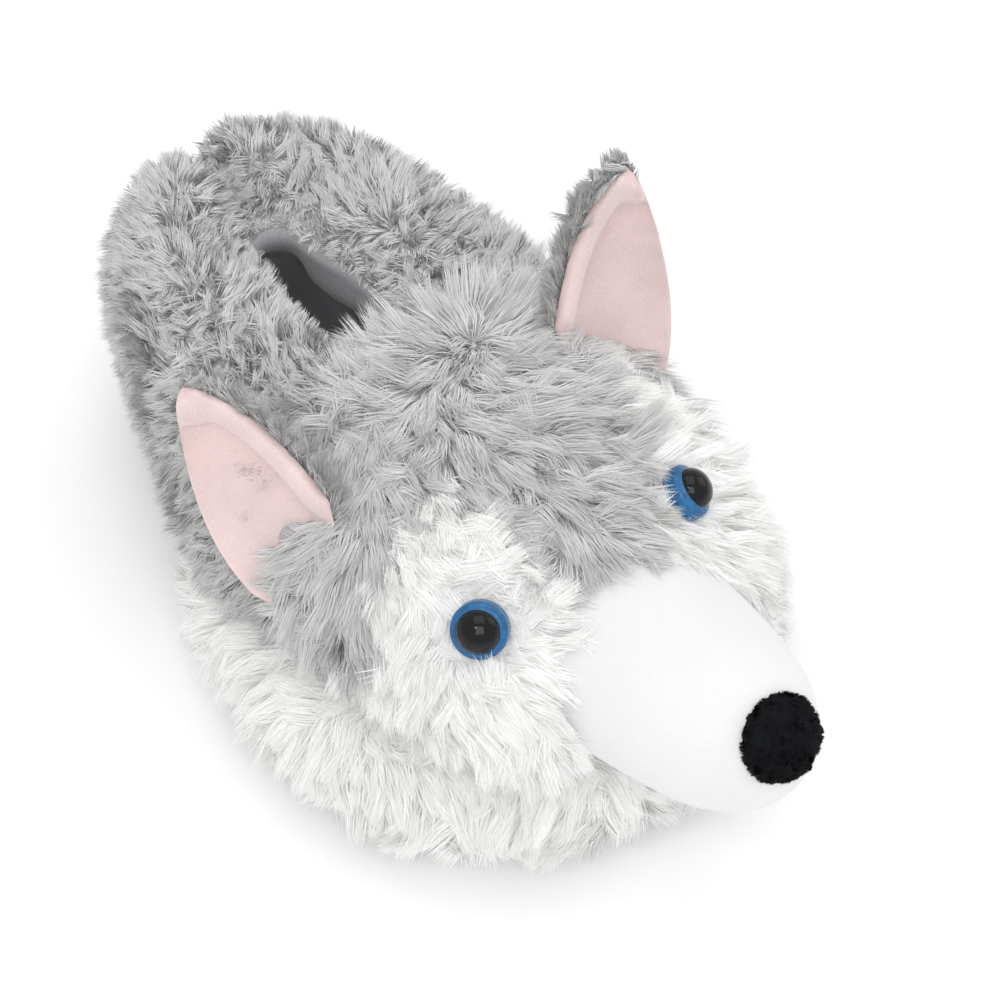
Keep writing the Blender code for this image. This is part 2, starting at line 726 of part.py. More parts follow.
def build_ear_lining(name, frame, look):
    """The velour inside of one ear, with a rolled rim along its inner edge."""
    up = np.array([-0.25, -0.10, 0.05, 0.20, 0.35, 0.50, 0.64, 0.76, 0.86])[:, None]
    half = np.linspace(-1.0, 1.0, 8)
    over_front = np.concatenate([half, half[::-1]])[None, :]
    is_front = np.concatenate([np.ones(8), np.zeros(8)])[None, :]
    skin = 0.25 * EAR_THICKNESS * np.sqrt(np.clip(1.0 - (0.86 * over_front) ** 2, 0.0, 1.0))
    root = skin - 0.7 * LINING_THICKNESS
    edge = np.sqrt(np.clip(1.0 - over_front**4, 0.0, 1.0))
    roll = np.exp(-(((over_front + 0.72) / 0.20) ** 2)) * (1.0 - 0.6 * np.clip(up, 0.0, 1.0) ** 2)
    thick = (LINING_THICKNESS + RIM_THICKNESS * roll) * (0.35 + 0.65 * edge)
    ahead_by = root + is_front * (thick + 0.7 * LINING_THICKNESS)
    up = up * np.ones_like(over_front)
    rings = ear_sheet(frame, up, 0.86 * over_front * np.ones_like(up), ahead_by * np.ones_like(up))
    return strip(name, rings, look)


# Assembly

clear_scene()
CUTTERS = bpy.data.collections.new("cutters")
bpy.context.scene.collection.children.link(CUTTERS)

outsole = build_outsole()
insole = build_insole()
upper, upper_filled = build_upper()
skirt = build_skirt()
head = build_head()
muzzle = build_muzzle()
nose = build_nose()
eye_left = build_eye("eye_left", 1.0)
eye_right = build_eye("eye_right", -1.0)

head_proud = cutter_from(head, "head_proud")
skirt_proud = cutter_from(skirt, "skirt_proud")
muzzle_proud = cutter_from(muzzle, "muzzle_proud")
footprint = build_footprint()

cut(insole, cutter_from(upper, "upper_proud"))
cut(skirt, upper_filled)
cut(skirt, footprint)
cut(head, upper_filled)
cut(head, skirt_proud)
cut(muzzle, head_proud)
cut(nose, muzzle_proud)
for eye in (eye_left, eye_right):
    cut(head, cutter_from(eye, eye.name + "_proud"))

# side, station along the head and turn round it for both ends of the foot, lean back, lean out, length
EARS = {
    "left": (1.0, (0.535, 54.0), (0.610, 2.0), 9.0, 13.0, 1.0),
    "right": (-1.0, (0.585, 52.0), (0.565, -9.0), 42.0, 11.0, 0.90),
}
for which, placing in EARS.items():
    frame = ear_frame(*placing)
    ear = build_ear("ear_" + which, frame, material("ear_" + which, UPPER_COLOUR, 0.9))
    velour = material("ear_lining_" + which, PINK_COLOUR, 0.85)
    lining = build_ear_lining("ear_lining_" + which, frame, velour)
    ear_proud = cutter_from(ear, ear.name + "_proud")
    cut(ear, head_proud)
    cut(lining, ear_proud)
    cut(lining, head_proud)
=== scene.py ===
"""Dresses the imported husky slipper: plush pile, velour ears, glossy eyes, lining and sole, on a pale floor.

Every surface is worked out from the slipper's own sizes. Distances are in metres.
"""

import math

import bpy
import numpy as np
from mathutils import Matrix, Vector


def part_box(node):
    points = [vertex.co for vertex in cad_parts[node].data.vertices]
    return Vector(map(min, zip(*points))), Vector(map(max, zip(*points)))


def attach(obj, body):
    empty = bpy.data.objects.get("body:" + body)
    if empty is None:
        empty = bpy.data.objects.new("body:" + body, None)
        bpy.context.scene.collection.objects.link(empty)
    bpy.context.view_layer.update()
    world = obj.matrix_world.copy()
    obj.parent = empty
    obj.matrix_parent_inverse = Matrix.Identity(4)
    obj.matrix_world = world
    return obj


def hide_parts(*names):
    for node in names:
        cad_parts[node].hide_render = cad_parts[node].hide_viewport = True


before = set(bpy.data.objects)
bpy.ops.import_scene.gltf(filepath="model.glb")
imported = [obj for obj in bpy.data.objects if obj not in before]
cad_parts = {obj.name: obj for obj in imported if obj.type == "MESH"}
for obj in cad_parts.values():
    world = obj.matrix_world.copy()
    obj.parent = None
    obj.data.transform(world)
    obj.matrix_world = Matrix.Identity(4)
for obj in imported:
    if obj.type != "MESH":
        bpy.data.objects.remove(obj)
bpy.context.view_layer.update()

PILE_MAP = "OFBake"

bl_info = {
    "name": "Husky slipper",
    "version": (1, 0, 0),
    "blender": (4, 5, 0),
    "location": "3D View > Sidebar > Slipper",
    "description": "Makes the pile, face, ears, lining and sole of a plush husky slipper",
    "category": "Object",
}


# Sizes and colours


def length(name, description, default):
    return bpy.props.FloatProperty(
        name=name, description=description, default=default, min=0.0, unit="LENGTH", subtype="DISTANCE"
    )


def colour(name, description, default):
    return bpy.props.FloatVectorProperty(
        name=name, description=description, default=default, size=3, min=0.0, max=1.0, subtype="COLOR"
    )


def share(name, description, default):
    return bpy.props.FloatProperty(
        name=name, description=description, default=default, min=0.0, max=1.0, subtype="FACTOR"
    )


class SlipperSizes(bpy.types.PropertyGroup):
    sole_length: length("Sole length", "Heel end to toe end of the sole", 0.262)
    sole_thickness: length("Sole thickness", "Height of the sole's top", 0.006)
    body_width: length("Body width", "Width of the stuffed upper at the ball", 0.164)
    heel_width: length("Heel width", "Width of the stuffed upper at the heel", 0.112)
    collar_height: length("Collar height", "Top of the stuffed roll", 0.112)
    opening_length: length("Opening length", "Length of the slot between the rolls", 0.068)
    opening_width: length("Opening width", "Width of the slot between the rolls", 0.028)
    foot_width: length("Foot width", "Room for the foot at the ball", 0.096)
    foot_heel_width: length("Foot heel width", "Room for the foot at the heel", 0.068)
    instep_height: length("Instep height", "Room over the instep", 0.078)
    toe_height: length("Toe height", "Room over the toes", 0.036)
    skirt_width: length("Front roll width", "Width of the white roll", 0.190)
    skirt_height: length("Front roll height", "Top of the white roll", 0.046)
    skirt_thickness: length("Front roll thickness", "Thickness of the white roll", 0.050)
    skirt_overhang: length("Front roll overhang", "How far the roll stands past the sole's toe", 0.011)
    head_width: length("Head width", "Width of the head", 0.156)
    head_height: length("Head height", "Top of the head above the floor", 0.114)
    muzzle_length: length("Muzzle length", "From the face to the muzzle's tip", 0.053)
    muzzle_width: length("Muzzle width", "Width of the muzzle at its root", 0.074)
    muzzle_height: length("Muzzle height", "Height of the muzzle at its root", 0.050)
    eye_diameter: length("Eye diameter", "Across the blue ring", 0.018)
    ear_height: length("Ear height", "Foot to tip of the upright ear", 0.068)
    ear_thickness: length("Ear thickness", "Padding of the ear", 0.008)
    ear_cup: length("Ear cup", "How far the ear's edges come forward", 0.010)
    ear_bow: length("Ear bow", "How far the ear's middle bends back", 0.006)
    ear_swell: share("Ear swell", "How far the ear's outer edge bulges", 0.42)


class SlipperPile(bpy.types.PropertyGroup):
    collar: length("Collar pile", "Length of the pile on the stuffed roll", 0.0080)
    crown: length("Crown pile", "Length of the gray fur on the head", 0.0150)
    face: length("Face pile", "Length of the white fur on the face", 0.0135)
    skirt: length("Front roll pile", "Length of the white fur on the front roll", 0.0125)
    ear: length("Ear pile", "Length of the fur on the ears' backs", 0.0090)
    nose: length("Nose nap", "Length of the nap on the nose", 0.0013)
    strand: length("Strand width", "Width of one strand at its root", 0.00042)


class SlipperColours(bpy.types.PropertyGroup):
    gray: colour("Gray", "Tips of the gray fur", (0.78, 0.78, 0.775))
    gray_dark: colour("Dark gray", "Darkest gray strands", (0.60, 0.60, 0.595))
    # painted shade: the gray root colour darkens each strand towards its root, and the gray backing, as shade deep in
    # the pile
    gray_root_shade: colour("Gray root shade", "Painted shade at the roots of the gray fur", (0.34, 0.335, 0.33))
    white: colour("White", "Tips of the white fur", (0.95, 0.95, 0.942))
    white_dark: colour("Warm white", "Darkest white strands", (0.88, 0.88, 0.868))
    # painted shade: the white root colour darkens each white strand towards its root, and the white backing, as shade
    # deep in the pile
    white_root_shade: colour("White root shade", "Painted shade at the roots of the white fur", (0.88, 0.878, 0.865))
    muzzle: colour("Muzzle", "Short white plush", (0.80, 0.795, 0.798))
    black: colour("Black", "Nose and pupils", (0.003, 0.0035, 0.0045))
    blue: colour("Blue", "Ring of the eyes", (0.022, 0.125, 0.290))
    pink: colour("Pink", "Velour of the ears", (0.775, 0.615, 0.612))
    lining: colour("Lining", "Smooth inside of the slipper", (0.56, 0.565, 0.585))
    sole: colour("Sole", "Fabric under the foot", (0.055, 0.056, 0.060))


# Small maths


def smooth(low, high, value):
    part = np.clip((value - low) / (high - low), 0.0, 1.0)
    return part * part * (3.0 - 2.0 * part)


def unit(vectors):
    return vectors / np.maximum(np.linalg.norm(vectors, axis=-1, keepdims=True), 1e-12)


def dot(first, second):
    return (first * second).sum(axis=-1, keepdims=True)


def place(across, forward, height):
    """Puts (across, forward, height) into the slipper's frame: forward runs from the sole's heel end to the toe."""
    across, forward, height = np.broadcast_arrays(across, forward, height)
    return np.stack([across, sizes().sole_length / 2 - forward, height], axis=-1)


def sizes():
    return bpy.context.scene.slipper_sizes


def pile():
    return bpy.context.scene.slipper_pile


def colours():
    return bpy.context.scene.slipper_colours


def curve_through(rows, steps):
    """Catmull-Rom curve through rows of values, with the given number of steps between each two."""
    rows = np.asarray(rows, float)
    padded = np.concatenate([[2.0 * rows[0] - rows[1]], rows, [2.0 * rows[-1] - rows[-2]]])
    t = np.arange(steps).reshape((1, steps) + (1,) * (rows.ndim - 1)) / steps
    a, b, c, d = (padded[k : k + len(rows) - 1][:, None] for k in range(4))
    bend = -a + 3.0 * b - 3.0 * c + d
    turn = 2.0 * a - 5.0 * b + 4.0 * c - d
    curve = 0.5 * (2.0 * b + (c - a) * t + turn * t**2 + bend * t**3)
    return np.concatenate([curve.reshape((-1,) + rows.shape[1:]), rows[-1:]])


def mounds(points, places):
    """Soft swellings: each place is (x, y, z, radius, height), and the height falls off as a bell curve."""
    total = np.zeros(points.shape[:-1])
    for x, y, z, radius, height in places:
        away = ((points - np.array([x, y, z])) ** 2).sum(axis=-1)
        total = total + height * np.exp(-away / radius**2)
    return total


def waves(points, size, seed):
    """Slow random variation between about -1 and 1: six sine waves in random directions, size apart."""
    draw = np.random.default_rng(seed)
    total = np.zeros(points.shape[:-1])
    for _ in range(6):
        direction = unit(draw.normal(size=3)) * 2.0 * math.pi / (size * draw.uniform(0.7, 1.5))
        total = total + np.sin(points @ direction + draw.uniform(0.0, 2.0 * math.pi))
    return total / 2.4


# Meshes


def link(mesh, name, look):
    made = bpy.data.objects.new(name, mesh)
    bpy.context.scene.collection.objects.link(made)
    mesh.materials.append(look)
    mesh.polygons.foreach_set("use_smooth", np.ones(len(mesh.polygons), bool))
    mesh.update()
    return made


def fill_mesh(name, points, faces, sides):
    """A mesh from arrays: faces holds the corners one after another, and sides the corner count of each face."""
    mesh = bpy.data.meshes.new(name)
    mesh.vertices.add(len(points))
    mesh.vertices.foreach_set("co", np.ascontiguousarray(points, np.float32).ravel())
    mesh.loops.add(len(faces))
    mesh.loops.foreach_set("vertex_index", np.ascontiguousarray(faces, np.int32))
    starts = np.concatenate([[0], np.cumsum(sides)[:-1]])
    mesh.polygons.add(len(sides))
    mesh.polygons.foreach_set("loop_start", starts.astype(np.int32))
    mesh.update(calc_edges=True)
    mesh.validate()
    return mesh


def sheet(name, points, look, joined=True, poles=(None, None)):
    """A smooth skin over a grid of rows and columns. joined closes the columns, and poles close the end rows.

    Faces run counter-clockwise seen from outside when columns turn left to right as rows go up. faces_turned tells.
    """
    count, around = points.shape[:2]
    row, column = np.meshgrid(np.arange(count - 1), np.arange(around if joined else around - 1), indexing="ij")
    after = (column + 1) % around
    quads = np.stack(
        [row * around + column, row * around + after, (row + 1) * around + after, (row + 1) * around + column], axis=-1
    ).reshape(-1, 4)
    corners = [quads.ravel()]
    sides = [np.full(len(quads), 4)]
    flat = [points.reshape(-1, 3)]
    first = count * around
    columns = np.arange(around)
    for pole, base, turned in ((poles[0], 0, True), (poles[1], (count - 1) * around, False)):
        if pole is None:
            continue
        ahead = (columns + 1) % around
        ends = (ahead, columns) if turned else (columns, ahead)
        corners.append(np.stack([base + ends[0], base + ends[1], np.full(around, first)], axis=-1).ravel())
        sides.append(np.full(around, 3))
        flat.append(np.asarray(pole, float).reshape(1, 3))
        first += 1
    mesh = fill_mesh(name, np.concatenate(flat), np.concatenate(corners), np.concatenate(sides))
    return link(mesh, name, look)


def grid_normals(points, joined, outside):
    """Unit normals of a grid, turned to the side that outside, a grid of directions, points to on the whole."""
    if joined:
        along = np.roll(points, -1, axis=1) - np.roll(points, 1, axis=1)
    else:
        along = np.gradient(points, axis=1)
    normal = unit(np.cross(along, np.gradient(points, axis=0)))
    if (normal * outside).sum() < 0.0:
        normal = -normal
    return normal


def faces_turned(points, normal, joined):
    """True if sheet() would build this grid inside out."""
    if joined:
        along = np.roll(points, -1, axis=1) - points
    else:
        along = np.gradient(points, axis=1)
    return (np.cross(along, np.gradient(points, axis=0)) * normal).sum() < 0.0


def skin(name, points, normal, look, joined=True, poles=(None, None)):
    """A sheet whose faces point along normal."""
    if faces_turned(points, normal, joined):
        points = points[:, ::-1]
    return sheet(name, points, look, joined, poles)


# Pile


def scattered(points, normal, count, draw, joined=True, weight=None):
    """Roots spread evenly over a grid: cells are picked in step with their area times weight."""
    if joined:
        points = np.concatenate([points, points[:, :1]], axis=1)
        normal = np.concatenate([normal, normal[:, :1]], axis=1)
        weight = None if weight is None else np.concatenate([weight, weight[:, :1]], axis=1)
    corner = (points[:-1, :-1], points[:-1, 1:], points[1:, :-1], points[1:, 1:])
    area = 0.5 * np.linalg.norm(np.cross(corner[3] - corner[0], corner[2] - corner[1]), axis=-1)
    if weight is not None:
        area = area * (weight[:-1, :-1] + weight[:-1, 1:] + weight[1:, :-1] + weight[1:, 1:]) / 4.0
    total = np.cumsum(area.ravel())
    spots = (np.arange(count) + draw.random(count)) / count * total[-1]
    cell = np.minimum(np.searchsorted(total, spots), area.size - 1)
    row, column = np.unravel_index(cell, area.shape)
    a, b = draw.random((2, count, 1))

    def blend(grid):
        low = grid[row, column] * (1.0 - b) + grid[row, column + 1] * b
        high = grid[row + 1, column] * (1.0 - b) + grid[row + 1, column + 1] * b
        return low * (1.0 - a) + high * a

    return blend(points), unit(blend(normal))


def nearest(points, centres):
    """Index of the nearest centre to each point."""
    found = np.empty(len(points), np.int64)
    centres = centres.astype(np.float32)
    square = (centres**2).sum(axis=1)
    for start in range(0, len(points), 4000):
        part = points[start : start + 4000].astype(np.float32)
        found[start : start + 4000] = np.argmin(square - 2.0 * part @ centres.T, axis=1)
    return found


def strand_lines(root, normal, flow, lean, bend, size, steps):
    """Points down each strand: it leaves the skin leaning over along flow, and leans further towards its tip."""
    flow = unit(flow - normal * dot(flow, normal))
    lean = lean[:, None]
    start = np.cos(lean) * normal + np.sin(lean) * flow
    over = np.cos(lean) * flow - np.sin(lean) * normal
    t = np.asarray(steps)[None, :, None]
    line = start[:, None] * t + 0.5 * bend[:, None, None] * over[:, None] * t**2
    return root[:, None] + size[:, None, None] * line


def grow(name, root, normal, flow, look, draw, size, lean, bend=0.5, width=None, tuft=0.005, pull=0.6,
         wander=0.30, stray=0.10, steps=(0.0, 0.45, 1.0), tone=None, uneven=0.22):
    """Pile as one mesh of tapered strands.

    Strands near one tuft's middle share its lean and direction, and their tips are drawn together by pull.
    wander is how far a tuft's direction strays from flow, and stray how far one strand does.
    Colour comes from the map: across it is the strand's shade, and up it is the way from root to tip.
    """
    count = len(root)
    middles = draw.choice(count, max(8, int(count * min(1.0, tuft_share(root, tuft)))), replace=False)
    which = nearest(root, root[middles])
    size = np.broadcast_to(np.asarray(size, float), (count,))
    lean = np.broadcast_to(np.asarray(lean, float), (count,))
    tuft_turn = draw.normal(size=(len(middles), 3))
    tuft_size = 1.0 + uneven * draw.normal(size=len(middles)).clip(-2.0, 2.0)
    tuft_lean = draw.normal(size=len(middles)) * wander * 0.6
    tuft_tone = draw.random(len(middles))
    own_flow = unit(unit(flow) + wander * tuft_turn[which] + stray * draw.normal(size=(count, 3)))
    own_size = size * tuft_size[which] * (1.0 + 0.12 * draw.normal(size=count).clip(-2.0, 2.0))
    own_lean = np.clip(lean + tuft_lean[which] + stray * draw.normal(size=count), 0.0, 1.5)
    bends = bend * (0.6 + 0.8 * draw.random(count))
    line = strand_lines(root, normal, own_flow, own_lean, bends, own_size, steps)
    heart = line[middles][which]
    t = np.asarray(steps)[None, :, None]
    line = line + pull * t**1.2 * (heart - line)
    line = line + (stray * 0.5) * size[:, None, None] * t * draw.normal(size=(count, 1, 3)).clip(-2.0, 2.0)
    way = unit(line[:, -1] - line[:, 0])
    side = unit(np.cross(way, normal + 1e-4))
    roll = draw.uniform(-0.9, 0.9, (count, 1))
    side = unit(np.cos(roll) * side + np.sin(roll) * np.cross(side, way))
    width = pile().strand if width is None else width
    widths = width * (0.7 + 0.6 * draw.random(count))
    shade = 0.45 * tuft_tone[which] + 0.55 * draw.random(count)
    shade = shade if tone is None else np.clip(shade + tone, 0.0, 1.0)
    lit = unit(normal + 0.35 * unit(normal - way * dot(normal, way)) + 0.18 * draw.normal(size=(count, 3)).clip(-2.0, 2.0))
    return blades(name, line, side, widths, np.asarray(steps), shade, lit, look)


def tuft_share(root, tuft):
    """About how many of the roots are tuft middles, when tufts are so far apart."""
    box = root.max(axis=0) - root.min(axis=0)
    spread = 2.0 * (box[0] * box[1] + box[1] * box[2] + box[0] * box[2]) * 0.6
    return spread / tuft**2 / len(root)


def blades(name, line, side, widths, steps, shade, lit, look):
    """Strands as flat tapered blades: half the width goes to each side of the line, down to a point at the tip.

    lit is the direction that each strand is shaded by, near the skin's own, so the pile shades as one soft mass.
    """
    count, levels = line.shape[:2]
    taper = np.sqrt(1.0 - 0.85 * steps[:-1])
    reach = side[:, None] * (0.5 * widths[:, None] * taper)[..., None]
    body = np.stack([line[:, :-1] - reach, line[:, :-1] + reach], axis=2).reshape(count, -1, 3)
    points = np.concatenate([body, line[:, -1:]], axis=1)
    per = points.shape[1]
    pattern = []
    along = []
    across = []
    for level in range(levels - 2):
        low = 2 * level
        pattern += [low, low + 1, low + 3, low + 2]
        along += [steps[level], steps[level], steps[level + 1], steps[level + 1]]
        across += [0.15, 0.85, 0.85, 0.15]
    last = 2 * (levels - 2)
    pattern += [last, last + 1, last + 2]
    along += [steps[-2], steps[-2], 1.0]
    across += [0.15, 0.85, 0.5]
    faces = (np.arange(count)[:, None] * per + np.array(pattern)[None, :]).ravel()
    sides = np.tile([4] * (levels - 2) + [3], count)
    mesh = fill_mesh(name, points.reshape(-1, 3), faces, sides)
    spot = (np.floor(np.clip(shade, 0.0, 0.999) * 64.0)[:, None] + np.array(across)[None, :]) / 64.0
    up = np.broadcast_to(0.02 + 0.96 * np.array(along)[None, :], spot.shape)
    chart = mesh.uv_layers.new(name=PILE_MAP)
    chart.data.foreach_set("uv", np.stack([spot, up], axis=-1).astype(np.float32).ravel())
    made = link(mesh, name, look)
    mesh.normals_split_custom_set_from_vertices(np.repeat(lit, per, axis=0).tolist())
    return made


# Materials


def group(name, inputs, outputs):
    """An empty node group with those sockets, and its two ends."""
    made = bpy.data.node_groups.new(name, "ShaderNodeTree")
    for label, kind, value in inputs:
        socket = made.interface.new_socket(name=label, in_out="INPUT", socket_type=kind)
        if value is not None:
            socket.default_value = value
    for label, kind in outputs:
        made.interface.new_socket(name=label, in_out="OUTPUT", socket_type=kind)
    return made, made.nodes.new("NodeGroupInput"), made.nodes.new("NodeGroupOutput")


def mixed(tree, factor, first, second):
    """A colour Mix node. Each argument is a socket to link or a value."""
    node = tree.nodes.new("ShaderNodeMix")
    node.data_type = "RGBA"
    for socket, value in ((node.inputs[0], factor), (node.inputs[6], first), (node.inputs[7], second)):
        if isinstance(value, bpy.types.NodeSocket):
            tree.links.new(value, socket)
        else:
            socket.default_value = value
    return node.outputs[2]


def ranged(tree, value, low, high, to_low=0.0, to_high=1.0):
    node = tree.nodes.new("ShaderNodeMapRange")
    node.interpolation_type = "SMOOTHSTEP"
    tree.links.new(value, node.inputs["Value"])
    for label, number in (("From Min", low), ("From Max", high), ("To Min", to_low), ("To Max", to_high)):
        if isinstance(number, bpy.types.NodeSocket):
            tree.links.new(number, node.inputs[label])
        else:
            node.inputs[label].default_value = number
    return node.outputs["Result"]


def pile_group():
    """Colour of a strand: dark to light by its own random tone, and darker towards its root as painted shade deep in
    the pile.
    """
    made = bpy.data.node_groups.get("Pile shade")
    if made:
        return made
    made, ends, out = group(
        "Pile shade",
        [
            ("Shade", "NodeSocketFloat", 0.5),
            ("Along", "NodeSocketFloat", 1.0),
            ("Root", "NodeSocketColor", None),
            ("Dark", "NodeSocketColor", None),
            ("Light", "NodeSocketColor", None),
            ("Root reach", "NodeSocketFloat", 0.5),
        ],
        [("Color", "NodeSocketColor")],
    )
    body = mixed(made, ends.outputs["Shade"], ends.outputs["Dark"], ends.outputs["Light"])
    # painted shade: from its root up to Root reach the strand runs from the root colour to its own
    rise = ranged(made, ends.outputs["Along"], 0.0, ends.outputs["Root reach"])
    made.links.new(mixed(made, rise, ends.outputs["Root"], body), out.inputs["Color"])
    return made


def nap_group():
    """Short nap: fine noise on the object's own coordinates, as a soft change of colour and a bump."""
    made = bpy.data.node_groups.get("Nap")
    if made:
        return made
    made, ends, out = group(
        "Nap",
        [
            ("Vector", "NodeSocketVector", None),
            ("Low", "NodeSocketColor", None),
            ("High", "NodeSocketColor", None),
            ("Fine scale", "NodeSocketFloat", 900.0),
            ("Patch scale", "NodeSocketFloat", 60.0),
            ("Bump distance", "NodeSocketFloat", 0.0003),
        ],
        [("Color", "NodeSocketColor"), ("Normal", "NodeSocketVector")],
    )
    fine = made.nodes.new("ShaderNodeTexNoise")
    patch = made.nodes.new("ShaderNodeTexNoise")
    fine.inputs["Detail"].default_value = 3.0
    patch.inputs["Detail"].default_value = 2.0
    for node, label in ((fine, "Fine scale"), (patch, "Patch scale")):
        made.links.new(ends.outputs["Vector"], node.inputs["Vector"])
        made.links.new(ends.outputs[label], node.inputs["Scale"])
    blend = made.nodes.new("ShaderNodeMath")
    blend.operation = "MULTIPLY_ADD"
    blend.inputs[1].default_value = 0.5
    made.links.new(fine.outputs["Fac"], blend.inputs[0])
    half = made.nodes.new("ShaderNodeMath")
    half.operation = "MULTIPLY"
    half.inputs[1].default_value = 0.5
    made.links.new(patch.outputs["Fac"], half.inputs[0])
    made.links.new(half.outputs[0], blend.inputs[2])
    tone = ranged(made, blend.outputs[0], 0.35, 0.65)
    made.links.new(mixed(made, tone, ends.outputs["Low"], ends.outputs["High"]), out.inputs["Color"])
    bump = made.nodes.new("ShaderNodeBump")
    bump.inputs["Strength"].default_value = 0.6
    made.links.new(ends.outputs["Bump distance"], bump.inputs["Distance"])
    made.links.new(fine.outputs["Fac"], bump.inputs["Height"])
    made.links.new(bump.outputs["Normal"], out.inputs["Normal"])
    return made


def new_material(name, roughness, sheen=0.0, specular=0.3, coat=0.0):
    made = bpy.data.materials.new(name)
    made.use_nodes = True
    shader = made.node_tree.nodes["Principled BSDF"]
    shader.inputs["Roughness"].default_value = roughness
    shader.inputs["Sheen Weight"].default_value = sheen
    shader.inputs["Specular IOR Level"].default_value = specular
    shader.inputs["Coat Weight"].default_value = coat
    return made, made.node_tree, shader


def solid(rgb):
    return (*rgb[:3], 1.0)


def pile_material(name, root, dark, light, reach=0.40, roughness=0.85, sheen=0.25, painted_glow=0.05):
    """Material of a piece of pile, which reads the pile's own map.

    The glow is painted light: an emission at a share of the fibres' own colour that stands in for the light reaching
    the eye through the thin fibres. The root colour is painted shade at the foot of each strand.
    """
    made = bpy.data.materials.get(name)
    if made:
        return made
    made, tree, shader = new_material(name, roughness, sheen, 0.15)
    chart = tree.nodes.new("ShaderNodeUVMap")
    chart.uv_map = PILE_MAP
    parts = tree.nodes.new("ShaderNodeSeparateXYZ")
    tree.links.new(chart.outputs["UV"], parts.inputs[0])
    node = tree.nodes.new("ShaderNodeGroup")
    node.node_tree = pile_group()
    tree.links.new(parts.outputs["X"], node.inputs["Shade"])
    tree.links.new(parts.outputs["Y"], node.inputs["Along"])
    for label, value in (("Root", root), ("Dark", dark), ("Light", light)):
        node.inputs[label].default_value = solid(value)
    node.inputs["Root reach"].default_value = reach
    tree.links.new(node.outputs["Color"], shader.inputs["Base Color"])
    # painted glow: the strand's own colour is also emitted, at the glow's strength
    tree.links.new(node.outputs["Color"], shader.inputs["Emission Color"])
    shader.inputs["Emission Strength"].default_value = painted_glow
    return made


def nap_material(name, low, high, fine=900.0, patch=60.0, bump=0.0003, roughness=0.9, sheen=0.3, specular=0.2):
    """Material of short plush, velour, or the cloth under the pile."""
    made = bpy.data.materials.get(name)
    if made:
        return made
    made, tree, shader = new_material(name, roughness, sheen, specular)
    where = tree.nodes.new("ShaderNodeTexCoord")
    node = tree.nodes.new("ShaderNodeGroup")
    node.node_tree = nap_group()
    tree.links.new(where.outputs["Object"], node.inputs["Vector"])
    for label, value in (("Low", solid(low)), ("High", solid(high))):
        node.inputs[label].default_value = value
    for label, value in (("Fine scale", fine), ("Patch scale", patch), ("Bump distance", bump)):
        node.inputs[label].default_value = value
    tree.links.new(node.outputs["Color"], shader.inputs["Base Color"])
    tree.links.new(node.outputs["Normal"], shader.inputs["Normal"])
    return made


def toned(rgb, factor):
    return tuple(min(1.0, channel * factor) for channel in rgb)


def gray_pile():
    tint = colours()
    # painted shade at the roots and a faint painted glow in the gray fur's own colour
    return pile_material("gray pile", tint.gray_root_shade, tint.gray_dark, tint.gray)


def white_pile():
    tint = colours()
    # painted shade at the roots and a stronger painted glow, emitted light in the white fur's own colour
    return pile_material("white pile", tint.white_root_shade, tint.white_dark, tint.white, 0.35, painted_glow=0.10)


def gray_backing_painted_shade():
    # painted shade: the backing cloth under the pile takes the root and dark strand colours, darker than the tips, as
    # shade deep in the pile
    tint = colours()
    return nap_material("gray backing painted shade", toned(tint.gray_root_shade, 0.9), tint.gray_dark, 500.0, 90.0)


def white_backing_painted_shade():
    # painted shade: the white backing takes the white root colour, a little darker than the tips, as shade deep in the
    # pile
    tint = colours()
    return nap_material("white backing painted shade", tint.white_root_shade, tint.white_dark, 500.0, 90.0)


def finish_piece(piece, slot, *nodes):
    """Ties a finished piece to the frame."""
    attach(piece, "root")
    if nodes:
        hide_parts(*nodes)
    return piece


# Upper


def plan(angle, back, front, heel_half, ball_half, toe_round=1.07):
    """Egg-shaped outline with round ends: angle 0 is its heel end and pi its toe end."""
    forward = back + (front - back) * (1.0 - np.cos(angle)) / 2.0
    part = (forward - back) / (front - back)
    half = heel_half + (ball_half - heel_half) * smooth(0.13, 0.60, part)
    heel_part = np.clip((forward - back) / heel_half, 0.0, 1.0)
    toe_part = np.clip((front - forward) / (toe_round * ball_half), 0.0, 1.0)
    half = half * np.sqrt(1.0 - (1.0 - heel_part) ** 2) * np.sqrt(1.0 - (1.0 - toe_part) ** 2)
    return np.sign(np.sin(angle)) * half, forward


